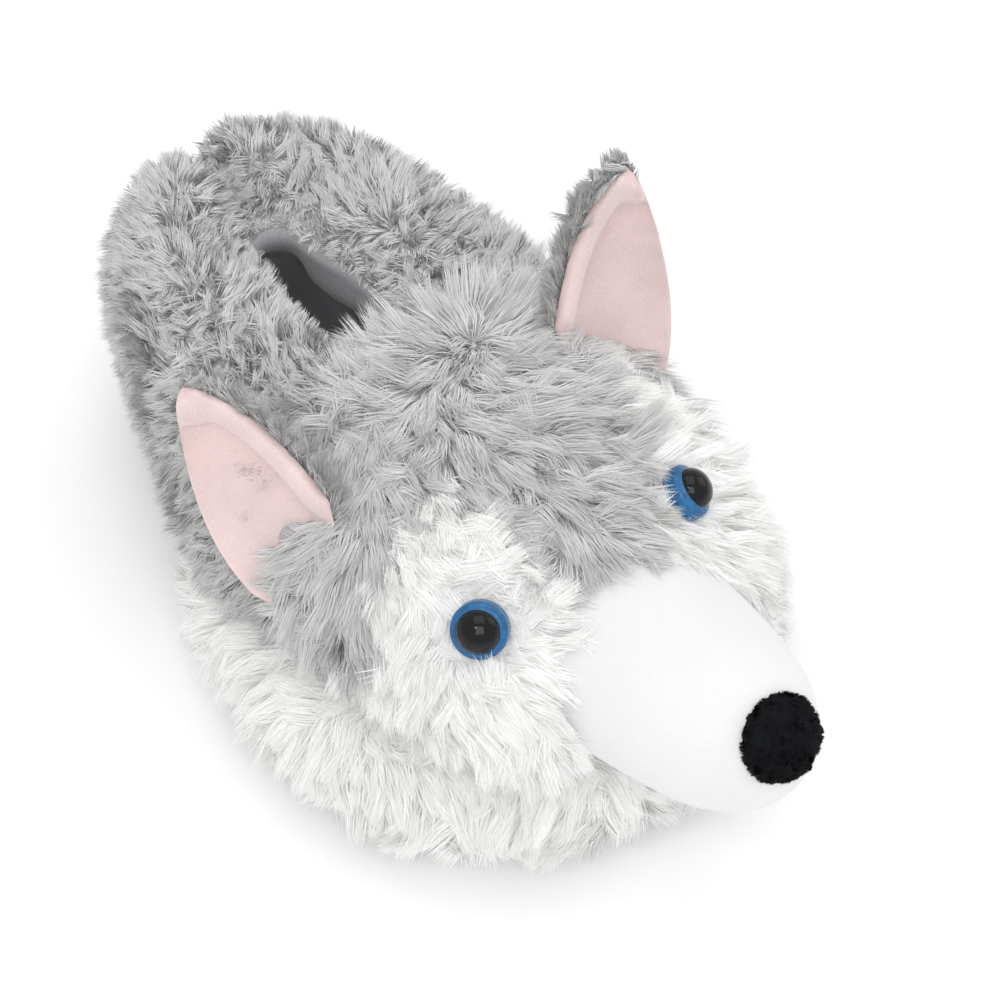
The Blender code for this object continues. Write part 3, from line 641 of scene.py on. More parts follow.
def upper_lines(columns):
    """The wall's lines from the sole's edge, up outside, over the collar and down inside, as in the solid."""
    s = sizes()
    length_, collar, body, heel = s.sole_length, s.collar_height, s.body_width / 2, s.heel_width / 2
    foot, foot_heel, mouth = s.foot_width / 2, s.foot_heel_width / 2, s.opening_width / 2
    back = 0.172 * length_
    front = back + s.opening_length
    seat = s.sole_thickness + 0.0003
    room_back = 0.70 * (heel - foot_heel)
    rise, toe = s.instep_height, s.toe_height
    # back, front, heel half, ball half, toe roundness, height at heel, side and toe
    table = [
        (0.015 * length_, 0.970 * length_, 0.64 * heel, 0.62 * body, 1.1, seat, seat, seat),
        (-0.008 * length_, 0.960 * length_, 0.91 * heel, 0.88 * body, 1.3, 0.13 * collar, 0.13 * collar, 0.12 * collar),
        (-0.026 * length_, 0.910 * length_, heel, 1.02 * body, 1.4, 0.37 * collar, 0.38 * collar, 0.26 * collar),
        (-0.030 * length_, 0.850 * length_, 1.03 * heel, body, 1.4, 0.67 * collar, 0.65 * collar, 0.44 * collar),
        (-0.004 * length_, 0.730 * length_, 0.95 * heel, 0.87 * body, 1.2, 0.91 * collar, 0.88 * collar, 0.60 * collar),
        (0.066 * length_, 0.540 * length_, 0.70 * heel, 0.56 * body, 1.1, collar, 0.99 * collar, 0.82 * collar),
        (0.74 * back, front + 0.020 * length_, 1.8 * mouth, 2.0 * mouth, 1.1, 0.95 * collar, 0.95 * collar, 0.90 * collar),
        (back, front, 0.62 * mouth, mouth, 1.1, 0.84 * collar, 0.84 * collar, 0.86 * collar),
        (0.96 * back, front + 0.010 * length_, 0.80 * mouth, 1.2 * mouth, 1.1, 0.73 * collar, 0.73 * collar, 0.77 * collar),
        (0.62 * back, 0.600 * length_, 0.80 * foot_heel, 0.76 * foot, 1.1, 0.56 * collar, 0.54 * collar, 0.86 * rise),
        (0.42 * back, 0.780 * length_, 0.96 * foot_heel, 0.95 * foot, 1.1, 0.38 * collar, 0.36 * collar, 1.40 * toe),
        (0.95 * room_back, 0.887 * length_, 1.04 * foot_heel, foot, 1.1, 0.21 * collar, 0.21 * collar, 0.90 * toe),
        (room_back, 0.900 * length_, 0.94 * foot_heel, 0.96 * foot, 1.1, seat, seat, seat),
    ]
    angle = 2.0 * math.pi * (np.arange(columns) + 0.5) / columns
    at_heel = ((1.0 + np.cos(angle)) / 2.0) ** 2
    at_toe = ((1.0 - np.cos(angle)) / 2.0) ** 2
    lines = []
    for row in table:
        across, forward = plan(angle, *row[:5])
        height = row[5] * at_heel + row[6] * (1.0 - at_heel - at_toe) + row[7] * at_toe
        lines.append(np.stack([across, forward, height], axis=-1))
    return np.array(lines)


def upper_surfaces(columns, steps):
    """Outside and inside of the upper as grids of points with outward normals."""
    lines = curve_through(upper_lines(columns), steps)
    edge = 7 * steps
    points = place(lines[..., 0], lines[..., 1], lines[..., 2])
    middle = points.mean(axis=(0, 1))
    outer, inner = points[: edge + 1], points[edge:]
    normal = grid_normals(points, True, np.where(np.arange(len(points))[:, None, None] < edge // 2, points - middle, 0.0))
    crease = np.exp(-((outer[..., 0] / 0.0065) ** 2)) * (lines[: edge + 1, :, 1] < 0.3 * sizes().sole_length)
    rows = np.arange(edge + 1)[:, None] / steps
    crease = crease * smooth(2.2, 4.0, rows) * (1.0 - smooth(6.2, 7.0, rows))
    outer = outer - normal[: edge + 1] * (0.0085 * crease)[..., None]
    return outer, grid_normals(outer, True, normal[: edge + 1]), inner, normal[edge:], crease


# Head


def head_rows(steps):
    """Stations down the head: forward, half-width, height of the widest line, top, bottom."""
    s = sizes()
    # share of length, of half-width, and of height for the widest line, the top and the bottom
    table = [
        (0.440, 0.40, 0.850, 0.925, 0.76),
        (0.465, 0.70, 0.790, 0.985, 0.62),
        (0.520, 0.92, 0.690, 1.000, 0.48),
        (0.590, 0.99, 0.620, 0.975, 0.38),
        (0.670, 0.98, 0.590, 0.945, 0.33),
        (0.750, 0.94, 0.580, 0.910, 0.30),
        (0.825, 0.88, 0.580, 0.865, 0.28),
        (0.890, 0.79, 0.575, 0.805, 0.28),
        (0.945, 0.64, 0.570, 0.735, 0.31),
        (0.975, 0.46, 0.560, 0.670, 0.38),
    ]
    high = s.head_height
    return curve_through(np.array(table) * [s.sole_length, s.head_width / 2, high, high, high], steps)


def head_point(rows, turn):
    """Points of head sections: turn 0 is the left side and a quarter turn the top."""
    forward, half, widest, top, bottom = np.moveaxis(rows, -1, 0)
    reach = np.sign(np.cos(turn)) * np.abs(np.cos(turn)) ** 0.92
    rise = np.sin(turn)
    return place(half * reach, forward, widest + np.where(rise > 0.0, top - widest, widest - bottom) * rise)


def head_row_at(forward):
    rows = head_rows(6)
    return np.stack([np.interp(forward, rows[:, 0], rows[:, k]) for k in range(5)], axis=-1)


def in_head(points, margin):
    """True where a point lies more than margin inside the head."""
    row = head_row_at(sizes().sole_length / 2 - points[..., 1])
    half, widest, top, bottom = (row[..., k] for k in range(1, 5))
    height = points[..., 2] - widest
    tall = np.where(height > 0.0, top - widest, widest - bottom) - margin
    level = np.abs(points[..., 0] / (half - margin)) ** 2.17 + (height / np.maximum(tall, 1e-4)) ** 2
    forward = sizes().sole_length / 2 - points[..., 1]
    rows = head_rows(6)
    return (level < 1.0) & (forward > rows[0, 0] + margin) & (forward < rows[-1, 0])


def muzzle_rows(steps):
    """Stations down the muzzle: forward, half-width, middle height, half-height, and where its tip is."""
    s = sizes()
    start = 0.85 * s.sole_length
    tip = 0.98 * s.sole_length + s.muzzle_length
    # share of the way from the buried start to the tip, of half-width and half-height, and rise
    table = [
        (0.00, 0.97, 0.92, 0.00),
        (0.20, 1.00, 0.98, 0.01),
        (0.40, 0.96, 1.03, 0.03),
        (0.60, 0.86, 1.04, 0.06),
        (0.76, 0.74, 1.00, 0.08),
        (0.89, 0.55, 0.78, 0.09),
        (0.950, 0.385, 0.55, 0.09),
        (0.982, 0.235, 0.335, 0.09),
        (0.996, 0.11, 0.16, 0.09),
    ]
    rows = [
        (start + (tip - start) * part, s.muzzle_width / 2 * wide, 0.62 * s.head_height + rise * s.head_height,
         s.muzzle_height / 2 * high)
        for part, wide, high, rise in table
    ]
    return curve_through(rows, steps), tip


def in_muzzle(points, margin):
    rows, tip = muzzle_rows(6)
    forward = sizes().sole_length / 2 - points[..., 1]
    half, level, tall = (np.interp(forward, rows[:, 0], rows[:, k]) for k in (1, 2, 3))
    inside = (points[..., 0] / (half - margin)) ** 2 + ((points[..., 2] - level) / (tall - margin)) ** 2 < 1.0
    return inside & (forward > rows[0, 0]) & (forward < tip - margin)


# Front roll


def skirt_path(count):
    """Middle line of the white roll, its outward side, and how full it is."""
    s = sizes()
    thick = s.skirt_thickness / 2
    part = (np.arange(count) + 0.5) / count
    angle = math.pi * (0.44 + 1.12 * part)
    front = s.sole_length + s.skirt_overhang - thick
    across, forward = plan(angle, 0.0, front, s.heel_width / 2 - thick, s.skirt_width / 2 - thick)
    tall = (s.skirt_height - 0.0015) / 2
    path = place(across, forward, 0.0015 + tall)
    side = unit(np.cross(np.gradient(path, axis=0), [0.0, 0.0, 1.0]))
    side = side * np.sign((side * (path - [0.0, -0.03, 0.0])).sum())
    full = np.sqrt(1.0 - (1.0 - np.clip(np.minimum(part, 1.0 - part) / 0.14, 0.0, 1.0)) ** 2)
    return path, side, full, thick, tall


def in_skirt(points, margin):
    path, side, full, thick, tall = skirt_path(96)
    near = nearest(points * [1.0, 1.0, 0.0], path * [1.0, 1.0, 0.0])
    away = points - path[near]
    flat = np.linalg.norm(away[..., :2], axis=-1) / np.maximum(thick * full[near] - margin, 1e-4)
    return flat**2.3 + np.abs(away[..., 2] / np.maximum(tall * full[near] - margin, 1e-4)) ** 2.3 < 1.0


# Face


def mirrored(places):
    return [*places, *[(-x, *rest) for x, *rest in places]]


def eye_places():
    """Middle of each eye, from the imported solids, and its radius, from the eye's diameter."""
    found = []
    for node in ("eye_right", "eye_left"):
        low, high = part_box(node)
        found.append(((np.array(low) + np.array(high)) / 2, sizes().eye_diameter / 2))
    return found


def head_surface(rows_fine=5, around=176):
    """The head's skin with its listed forms: eye hollows, brows and cheeks."""
    rows = head_rows(rows_fine)
    turn = 2.0 * math.pi * (np.arange(around) + 0.5) / around
    points = head_point(rows[:, None, :], turn[None, :])
    middle = place(0.0, rows[:, 0], rows[:, 2])[:, None]
    normal = grid_normals(points, True, points - middle)
    near, far = eye_places()
    forms = [
        (*near[0], 0.013, -0.0045),
        (*far[0], 0.013, -0.0045),
        (near[0][0] * 1.05, near[0][1] + 0.022, near[0][2] + 0.010, 0.014, 0.0020),
        (far[0][0] * 1.05, far[0][1] + 0.022, far[0][2] + 0.010, 0.014, 0.0020),
        (-0.058, -0.100, 0.062, 0.020, 0.0020),
        (0.058, -0.100, 0.062, 0.020, 0.0020),
    ]
    points = points + normal * (mounds(points, forms) - 0.0045)[..., None]
    return points, grid_normals(points, True, normal), rows


def white_face(points):
    """How far a root is inside the white face, in metres: above 0 is white. Both patches follow short tables."""
    s = sizes()
    forward = (s.sole_length / 2 - points[..., 1]) / s.sole_length
    across = points[..., 0]
    ragged = 0.0022 * waves(points, 0.009, 71) + 0.0012 * waves(points, 0.004, 72)
    # station, inner edge of the near patch, inner edge of the far patch
    inner = np.array([
        (0.600, -0.0190, 0.0480),
        (0.655, -0.0190, 0.0425),
        (0.690, -0.0230, 0.0385),
        (0.734, -0.0205, 0.0380),
        (0.782, -0.0176, 0.0325),
        (0.816, -0.0165, 0.0270),
        (0.855, -0.0165, 0.0190),
        (0.885, -0.0155, 0.0135),
        (0.915, -0.0140, 0.0090),
        (0.935, -0.0030, -0.0020),
    ])
    near_side = np.interp(forward, inner[:, 0], inner[:, 1]) - across
    far_side = across - np.interp(forward, inner[:, 0], inner[:, 2])
    # distance from the middle line, station of the near patch's back edge and of the far one's
    behind = np.array([
        (0.010, 0.668, 0.700),
        (0.018, 0.652, 0.680),
        (0.026, 0.660, 0.672),
        (0.034, 0.664, 0.664),
        (0.045, 0.672, 0.642),
        (0.052, 0.684, 0.634),
        (0.058, 0.700, 0.646),
        (0.064, 0.731, 0.680),
        (0.068, 0.759, 0.725),
        (0.073, 0.790, 0.770),
        (0.080, 0.820, 0.810),
    ])
    side = np.abs(across)
    near_back = (forward - np.interp(side, behind[:, 0], behind[:, 1])) * s.sole_length
    far_back = (forward - np.interp(side, behind[:, 0], behind[:, 2])) * s.sole_length
    near = np.minimum(near_side, near_back)
    far = np.minimum(far_side, far_back)
    return np.maximum(near, far) + ragged


def below_seam(points):
    """How far a root on the head's side is below the seam of gray and white, in metres."""
    forward = (sizes().sole_length / 2 - points[..., 1]) / sizes().sole_length
    seam = np.interp(forward, [0.50, 0.60, 0.66, 0.714, 0.79, 0.83], [0.036, 0.048, 0.058, 0.067, 0.074, 0.080])
    return seam - points[..., 2]


# Ears


# side, station along the head and turn round it for both ends of the foot, lean back, lean out, length
EARS = {
    "left": (1.0, (0.535, 54.0), (0.610, 2.0), 9.0, 13.0, 1.0),
    "right": (-1.0, (0.585, 52.0), (0.565, -9.0), 42.0, 11.0, 0.90),
}


def ear_frame(side, inner, outer, lean_back, lean_out, long_share):
    """Middle of the ear's foot, and its directions: across it to the outside, up the ear, and forward."""
    first = head_point(head_row_at(inner[0] * sizes().sole_length), math.radians(inner[1]))
    second = head_point(head_row_at(outer[0] * sizes().sole_length), math.radians(outer[1]))
    back = math.radians(lean_back)
    out = math.radians(lean_out)
    rise = np.array([math.sin(out), math.cos(out) * math.sin(back), math.cos(out) * math.cos(back)])
    across = (second - first) / 2
    ahead = unit(np.cross(across, rise))
    if ahead[1] > 0.0:
        ahead = -ahead
    flip = np.array([side, 1.0, 1.0])
    return (first + second) / 2 * flip, across * flip, long_share * rise * flip, ahead * flip


def ear_sheet(frame_, up, over, ahead_by):
    """Points of the ear: up is 0 at its foot and 1 at its tip, over runs from -1 inside to 1 outside."""
    s = sizes()
    foot, across, rise, ahead = frame_
    inside = np.clip(up, 0.0, 1.0)
    wide = 0.56 * (1.0 - up) + 0.44 * np.sqrt(1.0 - inside**2)
    wide = wide + s.ear_swell * np.sin(math.pi * inside**0.9) * (over > 0.0)
    wide = np.where(up < 0.0, 1.0 + 1.6 * up, wide)
    cup = s.ear_cup * over**2 * (1.0 - 0.45 * up) - s.ear_bow * np.sin(math.pi * inside)
    point = foot + (s.ear_height * up)[..., None] * rise + (wide * over)[..., None] * across
    return point + (cup + ahead_by)[..., None] * ahead


# Pieces


def make_collar():
    """Gray roll: backing skin, lining inside, and dense upright pile in two halves."""
    outer, normal, inner, inner_normal, crease = upper_surfaces(168, 5)
    to_mouth = smooth(0.80, 0.97, np.linspace(0.0, 1.0, len(outer)))[:, None, None]
    skin_points = outer - normal * 0.0045 * (1.0 - to_mouth)
    backing = skin("collar_plush", skin_points, normal, gray_backing_painted_shade())
    finish_piece(backing, "upper", "upper")
    # the far roll sags a little into the foot's room under the opening, and two soft folds run down it
    sag = 0.0085 * np.exp(-(((inner[..., 2] - 0.071) / 0.013) ** 2)) * smooth(0.008, 0.020, inner[..., 0])
    sag = sag * smooth(0.000, 0.020, inner[..., 1]) * (1.0 - smooth(0.075, 0.095, inner[..., 1]))
    fold = mounds(inner, [(0.016, 0.032, 0.078, 0.010, 0.0022), (0.012, 0.046, 0.070, 0.008, -0.0016)])
    inner = inner + inner_normal * (sag + fold + 0.0002)[..., None]
    tint = colours()
    lining_look = nap_material("lining", toned(tint.lining, 0.86), toned(tint.lining, 1.12), 1400.0, 25.0, 0.00012, 0.8, 0.25)
    lining = skin("foot_lining", inner, inner_normal, lining_look)
    finish_piece(lining, "upper")
    mouth = outer[-1]
    for index, side in enumerate((-1.0, 1.0)):
        draw = np.random.default_rng(11 + index)
        forward = (sizes().sole_length / 2 - skin_points[..., 1]) / sizes().sole_length
        weight = (skin_points[..., 0] * side > -0.0005) * (1.0 - smooth(0.50, 0.60, forward) * (normal[..., 2] > 0.3))
        root, up = scattered(skin_points, normal, 62000, draw, True, weight)
        keep = ~(in_head(root, 0.006) | in_skirt(root, 0.006)) & (root[:, 2] > 0.009)
        keep &= before_ears(root) > 0.010
        root, up = root[keep], up[keep]
        pinch = np.exp(-((root[:, 0] / 0.0075) ** 2)) * (root[:, 1] > 0.075) * smooth(0.045, 0.075, root[:, 2])
        edge = np.linalg.norm(root - mouth[nearest(root, mouth)], axis=1)
        flow = np.array([0.0, 0.25, -0.5]) + 0.8 * vector_waves(root, 0.05, 31)
        flow = flow + (1.5 * pinch * side)[:, None] * np.array([1.0, 0.0, 0.0])
        size = pile().collar * (1.0 + 0.08 * waves(root, 0.03, 33)) * (1.0 - 0.5 * pinch)
        size = size * (0.55 + 0.45 * smooth(0.002, 0.018, edge))
        # painted shade: the tone shift gives strands in the crease down the back of the heel darker tones, as shade in
        # the crease
        piece = grow(
            "collar_pile_" + ("right", "left")[index], root, up, flow, gray_pile(), draw, size, 0.30, 0.5,
            tuft=0.0048, pull=0.38, wander=0.75, stray=0.13, uneven=0.09, tone=-0.5 * pinch,
        )
        finish_piece(piece, "upper")


def vector_waves(points, size, seed):
    return np.stack([waves(points, size, seed + k) for k in range(3)], axis=-1)


def fur_flow(points):
    """Direction the head's fur lies in: away from a whorl on the crown, away from each eye, and down the cheeks."""
    length_ = sizes().sole_length
    whorl = place(0.010, 0.530 * length_, 0.98 * sizes().head_height)
    away = points - whorl
    swirl = np.cross([0.0, 0.0, 1.0], away)
    flow = unit(away + 0.35 * swirl)
    for middle, radius in eye_places():
        distance = np.linalg.norm(points - middle, axis=1)
        near = 1.6 * (1.0 - smooth(0.006, 0.034, distance))[:, None]
        flow = flow + near * unit(points - middle)
    low = smooth(0.085, 0.060, points[:, 2])[:, None]
    return flow + low * np.array([0.0, -0.3, -1.0]) + 0.55 * vector_waves(points, 0.040, 41)


def before_ears(points):
    """How far points are in front of either ear's pink side, in metres; large where no ear is near."""
    nearest_ear = np.full(len(points), 1.0)
    for placing in EARS.values():
        foot, across, rise, ahead = ear_frame(*placing)
        away = points - foot
        over = (away @ across) / (across @ across)
        up = (away @ rise) / (rise @ rise) / sizes().ear_height
        front = away @ ahead
        inside = (np.abs(over) < 1.05) & (up > 0.0) & (up < 1.0) & (front > -0.012)
        nearest_ear = np.where(inside, np.minimum(nearest_ear, front), nearest_ear)
    return nearest_ear


def make_head():
    """Head: backing skin, gray fur on the crown and sides, white fur on the face."""
    points, normal, rows = head_surface()
    length_ = sizes().sole_length
    ends = (place(0.0, rows[0, 0] - 0.010 * length_, rows[0, 2]), place(0.0, rows[-1, 0] + 0.012 * length_, rows[-1, 2]))
    backing = sheet_closed("head_plush", points, normal, ends, gray_backing_painted_shade())
    backing.data.materials.append(white_backing_painted_shade())
    centres = np.empty(len(backing.data.polygons) * 3, np.float32)
    backing.data.polygons.foreach_get("center", centres)
    centres = centres.reshape(-1, 3).astype(float)
    is_white = np.maximum(white_face(centres), below_seam(centres)) > -0.001
    backing.data.polygons.foreach_set("material_index", is_white.astype(np.int32))
    finish_piece(backing, "head", "head")
    eyes = eye_places()
    for label, count, look in (("gray", 60000, gray_pile()), ("white", 56000, white_pile())):
        draw = np.random.default_rng(21 if label == "gray" else 22)
        white = np.maximum(white_face(points), below_seam(points))
        weight = smooth(-0.004, 0.0, white) if label == "white" else smooth(-0.004, 0.0, -white)
        weight = weight * smooth(-0.75, -0.35, normal[..., 2])
        root, up = scattered(points, normal, count, draw, True, weight)
        white = np.maximum(white_face(root), below_seam(root))
        keep = (white > 0.0) if label == "white" else (white <= 0.0)
        keep &= ~(in_muzzle(root, 0.004) | in_skirt(root, 0.008))
        to_eye = np.array([root - middle for middle, _ in eyes])
        distance = np.linalg.norm(to_eye, axis=2)
        inner = -to_eye[..., 0] * np.sign([[middle[0]] for middle, _ in eyes]) / np.maximum(distance, 1e-6)
        rim = sizes().eye_diameter / 2 + 0.0008 - 0.0022 * smooth(0.2, 0.9, inner)
        keep &= (distance > rim).all(axis=0)
        front = before_ears(root)
        keep &= front > 0.003
        root, up, front, distance = root[keep], up[keep], front[keep], distance.min(axis=0)[keep]
        flow = fur_flow(root)
        base = pile().face if label == "white" else pile().crown
        size = base * (1.0 + 0.10 * waves(root, 0.03, 43)) * (0.62 + 0.38 * smooth(0.010, 0.022, distance))
        size = size * (0.30 + 0.70 * smooth(0.004, 0.022, front))
        lean = np.full(len(root), 0.95 if label == "gray" else 0.85)
        # the brow beside the far eye stands up and hides most of it
        brow = root - eyes[1][0] - [-0.011, 0.002, 0.004]
        brow = np.exp(-(((brow / [0.008, 0.013, 0.010]) ** 2).sum(axis=1)))
        lean = lean - 0.75 * brow
        size = size * (1.0 + 0.35 * brow)
        piece = grow(
            "head_fur_" + label, root, up, flow, look, draw, size, lean, 0.5,
            tuft=0.0060, pull=0.48, wander=0.42, stray=0.12, uneven=0.12,
        )
        finish_piece(piece, "head")


def sheet_closed(name, points, normal, ends, look):
    """A skin whose end rows run to a point each."""
    if faces_turned(points, normal, True):
        points = points[:, ::-1]
    return sheet(name, points, look, True, ends)


def make_skirt():
    """White roll round the front: backing skin and soft fur that hangs outwards."""
    path, side, full, thick, tall = skirt_path(150)
    turn = 2.0 * math.pi * (np.arange(64) + 0.5) / 64
    reach = np.sign(np.cos(turn)) * np.abs(np.cos(turn)) ** 0.85
    rise = np.sign(np.sin(turn)) * np.abs(np.sin(turn)) ** 0.85
    points = path[:, None] + side[:, None] * ((thick - 0.006) * full[:, None] * reach)[..., None]
    points[..., 2] += (tall - 0.003) * (0.35 + 0.65 * full[:, None]) * rise
    normal = grid_normals(points, True, points - path[:, None])
    points = points + normal * (0.0012 * waves(points, 0.03, 51))[..., None]
    points[..., 2] = np.maximum(points[..., 2], 0.0017)
    backing = sheet_closed("front_roll_plush", points, normal, (path[0], path[-1]), white_backing_painted_shade())
    finish_piece(backing, "skirt", "skirt")
    draw = np.random.default_rng(52)
    outward = (normal * side[:, None]).sum(axis=-1)
    weight = smooth(-0.55, -0.1, normal[..., 2]) * smooth(-0.75, -0.2, outward) + 0.001
    root, up = scattered(points, normal, 48000, draw, True, weight)
    keep = ~(in_head(root, 0.004) | in_muzzle(root, 0.0))
    root, up = root[keep], up[keep]
    outwards = unit(root * [1.0, 1.0, 0.0] - np.array([0.0, -0.03, 0.0]))
    flow = 0.8 * outwards + np.array([0.0, 0.0, -0.7]) + 0.6 * vector_waves(root, 0.05, 53)
    size = pile().skirt * (1.0 + 0.15 * waves(root, 0.03, 54)) * smooth(0.0, 0.012, root[:, 2] + 0.004)
    piece = grow(
        "front_roll_fur", root, up, flow, white_pile(), draw, size, 0.75, 0.5,
        tuft=0.0085, pull=0.55, wander=0.35, stray=0.12, uneven=0.12, width=0.00048,
    )
    finish_piece(piece, "skirt")


def make_muzzle():
    """Muzzle of short smooth plush, and the black plush nose."""
    tint = colours()
    rows, tip = muzzle_rows(8)
    turn = 2.0 * math.pi * (np.arange(128) + 0.5) / 128
    forward, half, level, tall = (rows[:, None, k] for k in range(4))
    points = place(half * np.cos(turn), forward + 0.0 * turn, level + tall * np.sin(turn))
    middle = place(0.0, rows[:, 0], rows[:, 2])[:, None]
    normal = grid_normals(points, True, points - middle)
    ends = (place(0.0, rows[0, 0], rows[0, 2]), place(0.0, tip, rows[-1, 2]))
    look = nap_material("muzzle plush", toned(tint.muzzle, 0.97), tint.muzzle, 1500.0, 45.0, 0.00022, 0.95, 0.25, 0.1)
    piece = sheet_closed("muzzle_plush", points - normal * 0.0006, normal, ends, look)
    finish_piece(piece, "muzzle", "muzzle")
    make_nose()


def make_nose():
    """A flattened ball of black plush, tilted up on the muzzle's tip, with short nap."""
    tint = colours()
    low, high = (np.array(corner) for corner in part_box("nose"))
    centre = (low + high) / 2
    facing = unit(np.array([0.0, -1.0, 1.0]))
    wide = (high[0] - low[0]) / 2
    thick = wide * 0.56
    lat = np.linspace(0.04, math.pi - 0.04, 40)[:, None]
    lon = 2.0 * math.pi * (np.arange(64) + 0.5)[None, :] / 64
    right = np.array([1.0, 0.0, 0.0])
    up_way = np.cross(facing, right)
    shape = (
        (np.sin(lat) * np.cos(lon))[..., None] * right * wide
        + (np.sin(lat) * np.sin(lon))[..., None] * up_way * wide
        + (np.cos(lat) + 0.0 * lon)[..., None] * facing * thick
    )
    points = centre + shape * 0.93
    normal = grid_normals(points, True, shape)
    points = points + normal * (0.0007 * waves(points, 0.010, 63))[..., None]
    look = nap_material("nose plush", toned(tint.black, 0.8), toned(tint.black, 2.0), 900.0, 140.0, 0.0004, 0.7, 0.0, 0.12)
    ends = (centre + facing * thick * 0.94, centre - facing * thick * 0.94)
    piece = sheet_closed("nose_plush", points, normal, ends, look)
    finish_piece(piece, "nose", "nose")
    draw = np.random.default_rng(64)
    root, up = scattered(points, normal, 9000, draw)
    flow = unit(root - centre) + 0.8 * vector_waves(root, 0.012, 65)
    # painted shade: the nap's root colour is darker than its tips
    nap_look = pile_material("nose nap", toned(tint.black, 0.5), toned(tint.black, 0.7), toned(tint.black, 2.5), 0.4, 0.7, 0.0, 0.0)
    nap = grow("nose_nap", root, up, flow, nap_look, draw, pile().nose, 0.8, 0.3, 0.00035,
               0.0025, 0.4, 0.5, 0.2)
    finish_piece(nap, "nose")


def make_eyes():
    """Each eye is turned round its own axis: a flat blue ring that a black dome stands out of."""
    tint = colours()
    blue = nap_material("eye ring", toned(tint.blue, 0.75), toned(tint.blue, 1.25), 700.0, 260.0, 0.0, 0.12, 0.0, 0.3)
    black = nap_material("eye dome", toned(tint.black, 0.8), toned(tint.black, 1.4), 700.0, 260.0, 0.0, 0.05, 0.0, 0.3)
    # radius and height, as shares of the eye's radius
    profile = np.array([
        (1.00, -0.30), (1.00, 0.12), (0.985, 0.20), (0.95, 0.26), (0.90, 0.30), (0.82, 0.33), (0.77, 0.345),
        (0.76, 0.37), (0.74, 0.46), (0.69, 0.56), (0.60, 0.68), (0.48, 0.78), (0.33, 0.86), (0.17, 0.905), (0.05, 0.92),
    ])
    ring_rows = 7
    for node_name, (middle, radius) in zip(("eye_right", "eye_left"), eye_places()):
        facing = eye_facing(middle)
        right = unit(np.cross([0.0, 0.0, 1.0], facing))
        top = np.cross(facing, right)
        turn = 2.0 * math.pi * (np.arange(64) + 0.5) / 64
        flat = np.cos(turn)[None, :, None] * right + np.sin(turn)[None, :, None] * top
        points = middle + radius * (profile[:, 0, None, None] * flat + profile[:, 1, None, None] * facing)
        sunk = radius * (0.42 if middle[0] > 0.0 else 0.16)
        points = points - facing * sunk
        normal = grid_normals(points, True, points - middle)
        ends = (None, middle + facing * (0.925 * radius - sunk))
        piece = sheet_closed(node_name + "_button", points, normal, ends, blue)
        piece.data.materials.append(black)
        quads = (len(profile) - 1) * 64
        slots = np.zeros(len(piece.data.polygons), np.int32)
        slots[ring_rows * 64 : quads] = 1
        slots[quads:] = 1
        piece.data.polygons.foreach_set("material_index", slots)
        finish_piece(piece, "eye", node_name)


def eye_facing(middle):
    """The direction that an eye looks in: up, out to its own side and a little ahead."""
    return unit(np.array([0.60 * np.sign(middle[0]), -0.42, 0.68]))


